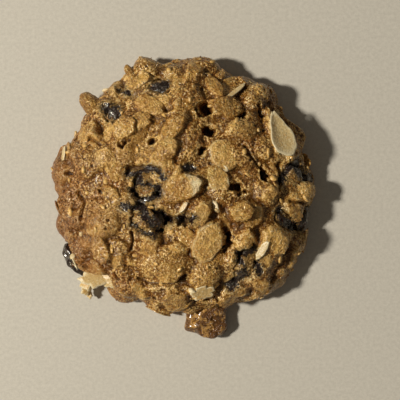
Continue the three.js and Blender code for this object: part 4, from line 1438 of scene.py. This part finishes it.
def strewing_group(name, finish, kind):
    """Geometry Nodes that strew pieces where the surface has room, and its sockets' keys."""
    group = bpy.data.node_groups.new(name, "GeometryNodeTree")
    keys = {}
    for label, value in STREWN_SOCKETS.items():
        socket = group.interface.new_socket(label, in_out="INPUT", socket_type="NodeSocket" + value)
        keys[label] = socket.identifier
    group.interface.new_socket("Pieces", in_out="OUTPUT", socket_type="NodeSocketGeometry")
    t = Tree(group)
    source = group.nodes.new("NodeGroupInput").outputs
    given = {label: Wire(t, source[label]) for label in STREWN_SOCKETS}

    room = t.add("GeometryNodeInputNamedAttribute", {"data_type": "FLOAT"}, {"Name": "room"}, "Attribute")
    inputs = {"Mesh": given["Surface"], "Distance Min": given["Spacing"], "Seed": given["Seed"]}
    inputs |= {"Density Max": MOST_DENSE, "Density Factor": room}
    spots = t.add("GeometryNodeDistributePointsOnFaces", {"distribute_method": "POISSON"}, inputs)
    upright = Wire(t, spots.socket.node.outputs["Rotation"])
    most = (kind.lean, kind.lean, math.pi)
    least = tuple(-angle for angle in most)
    vector = {"data_type": "FLOAT_VECTOR"}
    leaning = t.add("FunctionNodeRandomValue", vector, {"Min": least, "Max": most, "Seed": given["Seed"]})
    turned = t.add("FunctionNodeRotateRotation", {"rotation_space": "LOCAL"}, {0: upright, 1: leaning})
    inputs = {"Min": given["Smallest"], "Max": given["Largest"], "Seed": given["Seed"]}
    size = t.add("FunctionNodeRandomValue", vector, inputs)
    inputs = {"Points": spots, "Instance": t.add(*kind.shape), "Rotation": turned, "Scale": size}
    placed = t.add("GeometryNodeInstanceOnPoints", None, inputs)
    pieces = t.add("GeometryNodeRealizeInstances", None, {0: placed})
    inputs = {"Vector": t.add("GeometryNodeInputPosition"), "Scale": 1 / (UNEVENNESS * MM)}
    uneven = t.add("ShaderNodeTexNoise", None, inputs, "Color")
    centred = t.add("ShaderNodeVectorMath", {"operation": "SUBTRACT"}, {0: uneven, 1: (0.5, 0.5, 0.5)})
    offset = t.add("ShaderNodeVectorMath", {"operation": "SCALE"}, {0: centred, "Scale": UNEVENNESS * MM})
    pieces = t.add("GeometryNodeSetPosition", None, {"Geometry": pieces, "Offset": offset})
    pieces = t.add("GeometryNodeSetMaterial", None, {"Geometry": pieces, "Material": finish})
    t.add("NodeGroupOutput", None, {"Pieces": pieces})
    return group, keys


def strewn(name, surface, finish, kind, spacing):
    """Small pieces strewn over a surface, as one plain mesh object."""
    carrier = bpy.data.objects.new(name + "_carrier", surface.data)
    bpy.context.scene.collection.objects.link(carrier)
    modifier = carrier.modifiers.new(name, "NODES")
    modifier.node_group, keys = strewing_group(name, finish, kind)
    modifier[keys["Spacing"]] = spacing * MM
    modifier[keys["Seed"]] = kind.seed
    modifier[keys["Smallest"]] = tuple(side * MM for side in kind.smallest)
    modifier[keys["Largest"]] = tuple(side * MM for side in kind.largest)
    shown = carrier.evaluated_get(bpy.context.evaluated_depsgraph_get())
    mesh = bpy.data.meshes.new_from_object(shown)
    mesh.name = name
    mesh.shade_smooth()
    carrier.modifiers.clear()
    bpy.data.objects.remove(carrier)
    return link_object(name, mesh)


# ---------------------------------------------------------------- floor, light and camera

FLOOR_SIZE = 2.0  # metres
KEY_DISTANCE = 0.8  # metres
KEY_SIZE = 0.08  # metres
KEY_COLOUR = (1.0, 0.95, 0.86)
ROOM_COLOUR = (1.0, 0.91, 0.78, 1)
SENSOR = 36.0
FRAME_WIDTH = 91.5  # what the frame takes in, at the cookie's mid height
FRAME_CENTRE = (3.9, -3.7)
COOKIE_MIDDLE_HEIGHT = 8.0


def card_floor(settings):
    """A flat square of pale card under the cookie."""
    half = FLOOR_SIZE / 2
    corners = [(half * x, half * y, 0) for x, y in ((-1, -1), (1, -1), (1, 1), (-1, 1))]
    mesh = bpy.data.meshes.new("floor")
    mesh.from_pydata(corners, [], [(0, 1, 2, 3)])
    mesh.materials.append(floor_finish(settings.floor))
    return link_object("floor", mesh)


def key_lamp(settings):
    """A small round lamp, off to the left."""
    light = bpy.data.lights.new("key", "AREA")
    light.shape = "DISK"
    light.size = KEY_SIZE
    light.energy = settings.key_power
    light.color = KEY_COLOUR
    azimuth, elevation = settings.key_azimuth, settings.key_elevation
    flat = math.cos(elevation)
    aim = Vector((math.cos(azimuth) * flat, math.sin(azimuth) * flat, math.sin(elevation)))
    lamp = link_object("key", light)
    lamp.location = aim * KEY_DISTANCE
    lamp.rotation_euler = aim.to_track_quat("Z", "Y").to_euler()


def dim_room(settings):
    """A faint even light from all round."""
    world = bpy.data.worlds.new("room")
    world.use_nodes = True
    background = world.node_tree.nodes["Background"].inputs
    background["Color"].default_value = ROOM_COLOUR
    background["Strength"].default_value = settings.fill
    return world


def camera_above(settings):
    """A camera that looks straight down, with the frame's width set at the cookie's mid height."""
    lens = bpy.data.cameras.new("camera")
    lens.sensor_width = SENSOR
    lens.lens = SENSOR * (settings.distance / MM - COOKIE_MIDDLE_HEIGHT) / FRAME_WIDTH
    camera = link_object("camera", lens)
    camera.location = (FRAME_CENTRE[0] * MM, FRAME_CENTRE[1] * MM, settings.distance)
    return camera


# ---------------------------------------------------------------- what a user may change


def colour_setting(name, description, *screen_colour):
    """A colour, given as red, green and blue from 0 to 255."""
    colour = srgb(*screen_colour)
    return FloatVectorProperty(
        name=name, description=description, default=colour, subtype="COLOR", min=0, max=1
    )


def size_setting(name, description, default, least=0.0):
    return FloatProperty(name=name, description=description, default=default, min=least)


def angle_setting(name, description, degrees):
    angle = math.radians(degrees)
    return FloatProperty(name=name, description=description, default=angle, subtype="ANGLE")


class DoughSettings(bpy.types.PropertyGroup):
    """Crumb sizes in millimetres, and the colours of the baked dough and the oats."""

    warp: size_setting("Warp", "How far lumps wander from their ovals", 0.8)
    roughness: size_setting("Roughness", "Height of the crumb's swells", 0.22)
    grain: size_setting("Grain", "Spacing of the crumb's grains", 1.15, 0.5)
    grain_height: size_setting("Grain height", "Height of the grains", 0.18)
    grit: size_setting("Grit", "Height of the finest relief", 0.09)
    pore_spacing: size_setting("Pore spacing", "Spacing of small pores", 1.4, 0.5)
    pore_size: size_setting("Pore size", "Radius of the largest small pores", 0.45)
    crumb_spacing: size_setting("Crumb spacing", "Least distance between loose crumbs", 2.6, 0.3)
    oat_spacing: size_setting("Oat bit spacing", "Least distance between broken bits of oat", 5.4, 0.6)
    crumb: colour_setting("Crumb", "Dough between the flakes", 138, 92, 32)
    flake: colour_setting("Coated flake", "Dough over a flake", 200, 148, 68)
    # Pale is also the colour of the painted highlights on peaks, calm places and fine relief.
    pale: colour_setting("Pale", "Peaks and thinly coated oat", 226, 181, 103)
    husk: colour_setting("Husk", "The middle of a clean flake", 210, 184, 130)
    # Oat is also part of the painted glints and of the painted highlight on flake rims.
    oat: colour_setting("Oat", "Clean oat", 236, 222, 182)
    rust: colour_setting("Rust", "Dough that browned in patches", 158, 98, 44)
    milky: colour_setting("Milky", "Dough that stayed pale and dull in patches", 156, 136, 94)
    # Brown is also the painted shade in hollows and in the dips of the fine relief.
    brown: colour_setting("Brown", "Hollows and toasted spots", 90, 52, 14)
    # Deep is painted shade in pores, tiny pits and round the raisins' sockets.
    deep: colour_setting("Deep", "The inside of pores", 58, 26, 11)
    foot: colour_setting("Foot", "The fringe that met the tray", 136, 82, 38)


class RaisinSettings(bpy.types.PropertyGroup):
    """Raisin skin."""

    wrinkle: size_setting("Wrinkle", "Depth of the fine wrinkles", 0.35)
    # The skin's own dark colour, lighter on the tops of the fine relief as painted highlight and darkest
    # in its dips as painted shade.
    dark: colour_setting("Dark", "Skin in the folds", 24, 9, 9)
    light: colour_setting("Light", "Skin on the folds' tops", 54, 32, 32)
    # These pale specks are painted glints on the highest points of the skin's fine relief.
    painted_glint: colour_setting("Bloom", "Dull specks of sugar on the skin", 150, 138, 128)
    film: colour_setting("Film", "Thin dough over a raisin", 112, 94, 60)


class NutSettings(bpy.types.PropertyGroup):
    """The nut piece."""

    crag: size_setting("Crag", "Height of its crags", 0.6)
    skin: colour_setting("Skin", "Toasted skin", 112, 72, 30)
    flesh: colour_setting("Flesh", "Caramel flesh", 206, 154, 80)
    # Dark is painted shade in the pits, the dips of the fine bump.
    dark: colour_setting("Dark", "Its pits", 50, 26, 10)


class StageSettings(bpy.types.PropertyGroup):
    """Floor, light and camera."""

    floor: colour_setting("Floor", "Colour of the floor", 214, 208, 194)
    key_power: size_setting("Key power", "Power of the main lamp in watts", 6.5)
    key_azimuth: angle_setting("Key azimuth", "Where the main light comes from", 181)
    key_elevation: angle_setting("Key elevation", "Height of the main light", 46.5)
    fill: size_setting("Fill", "Brightness of the room", 0.1)
    distance: FloatProperty(
        name="Camera distance", description="Height of the camera", default=0.25, unit="LENGTH"
    )


# ---------------------------------------------------------------- operators


class COOKIE_OT_crumb(bpy.types.Operator):
    """Makes the dough's crumb body and the knobs on its rim"""

    bl_idname = "cookie.crumb"
    bl_label = "Crumb body"

    def execute(self, context):
        settings = context.scene.cookie_dough
        points, triangles, marks = crumb_body(settings)
        finish = dough_finish("baked dough", settings, context.scene.cookie_raisins)
        piece = make_piece("dough_crumb", points, triangles, finish, marks)
        settle(piece, "dough", "cookie_dough")
        points, triangles, marks = rim_knobs()
        settle(make_piece("rim_knobs", points, triangles, finish, marks), "dough")
        return {"FINISHED"}


class COOKIE_OT_grains(bpy.types.Operator):
    """Strews loose crumbs and broken bits of oat over the dough"""

    bl_idname = "cookie.grains"
    bl_label = "Loose grains"

    def execute(self, context):
        settings = context.scene.cookie_dough
        body = bpy.data.objects["dough_crumb"]
        finish = dough_finish("crumb grains", settings, context.scene.cookie_raisins)
        settle(strewn("crumb_grains", body, finish, GRAINS, settings.crumb_spacing), "dough")
        finish = bare_finish(settings)
        settle(strewn("oat_bits", body, finish, OAT_BITS, settings.oat_spacing), "oat_flake")
        return {"FINISHED"}


class COOKIE_OT_flakes(bpy.types.Operator):
    """Makes the oat flakes that lie on the dough"""

    bl_idname = "cookie.flakes"
    bl_label = "Oat flakes"

    def execute(self, context):
        dough, raisins = context.scene.cookie_dough, context.scene.cookie_raisins
        clean = [flake for flake in FLAKE_PLACES if flake.kind == "clean"] + shard_flakes()
        points, faces, marks = flakes_mesh(clean)
        settle(make_piece("oat_flakes", points, faces, bare_finish(dough), marks), "oat_flake")
        coated = [flake for flake in FLAKE_PLACES if flake.kind == "coated"]
        points, faces, marks = flakes_mesh(coated)
        marks["skin"] = skin_nearness(points)
        finish = dough_finish("coated oat", dough, raisins)
        settle(make_piece("coated_flakes", points, faces, finish, marks), "oat_flake")
        return {"FINISHED"}


class COOKIE_OT_raisins(bpy.types.Operator):
    """Makes a wrinkled raisin in each socket"""

    bl_idname = "cookie.raisins"
    bl_label = "Raisins"

    def execute(self, context):
        settings = context.scene.cookie_raisins
        finish = dough_finish("raisin skin", context.scene.cookie_dough, settings)
        directions, triangles = geodesic_ball(RAISIN_FREQUENCY)
        for number, (name, raisin) in enumerate(RAISIN_PLACES.items()):
            on_side = name in SIDE_RAISINS
            points, marks = wrinkled_raisin(raisin, directions, settings.wrinkle, number, on_side)
            piece = make_piece(name + "_skin", points, triangles, finish, marks)
            settle(piece, "raisin", name)
        return {"FINISHED"}


class COOKIE_OT_nut(bpy.types.Operator):
    """Makes the craggy nut piece under the rim"""

    bl_idname = "cookie.nut"
    bl_label = "Nut piece"

    def execute(self, context):
        settings = context.scene.cookie_nut
        points, triangles = nut_crags(settings.crag)
        settle(make_piece("nut_crag", points, triangles, nut_finish(settings)), "nut", "nut_piece")
        return {"FINISHED"}


class COOKIE_OT_stage(bpy.types.Operator):
    """Makes the floor, the lights and the camera"""

    bl_idname = "cookie.stage"
    bl_label = "Stage"

    def execute(self, context):
        settings = context.scene.cookie_stage
        card_floor(settings)
        key_lamp(settings)
        context.scene.world = dim_room(settings)
        context.scene.view_settings.view_transform = "Standard"
        context.scene.camera = camera_above(settings)
        return {"FINISHED"}


class COOKIE_PT_panel(bpy.types.Panel):
    """Buttons that build the cookie's pieces"""

    bl_idname = "COOKIE_PT_panel"
    bl_label = "Cookie"
    bl_space_type = "VIEW_3D"
    bl_region_type = "UI"
    bl_category = "Cookie"

    def draw(self, context):
        for operator in OPERATORS:
            self.layout.operator(operator.bl_idname)
        for name, group in SETTINGS.items():
            box = self.layout.box()
            for key in group.__annotations__:
                box.prop(getattr(context.scene, name), key)


SETTINGS = {
    "cookie_dough": DoughSettings,
    "cookie_raisins": RaisinSettings,
    "cookie_nut": NutSettings,
    "cookie_stage": StageSettings,
}
OPERATORS = (
    COOKIE_OT_crumb,
    COOKIE_OT_grains,
    COOKIE_OT_flakes,
    COOKIE_OT_raisins,
    COOKIE_OT_nut,
    COOKIE_OT_stage,
)
CLASSES = (*SETTINGS.values(), *OPERATORS, COOKIE_PT_panel)
FLAKE_PLACES = all_flakes()


def register():
    for cls in CLASSES:
        bpy.utils.register_class(cls)
    for name, group in SETTINGS.items():
        setattr(bpy.types.Scene, name, PointerProperty(type=group))


def unregister():
    for name in SETTINGS:
        delattr(bpy.types.Scene, name)
    for cls in reversed(CLASSES):
        bpy.utils.unregister_class(cls)


def main():
    for thing in list(bpy.data.objects):
        if thing.name in ("Cube", "Light", "Camera"):
            bpy.data.objects.remove(thing)
    register()
    bpy.ops.cookie.crumb()
    bpy.ops.cookie.grains()
    bpy.ops.cookie.flakes()
    bpy.ops.cookie.raisins()
    bpy.ops.cookie.nut()
    bpy.ops.cookie.stage()


if __name__ == "__main__":
    main()
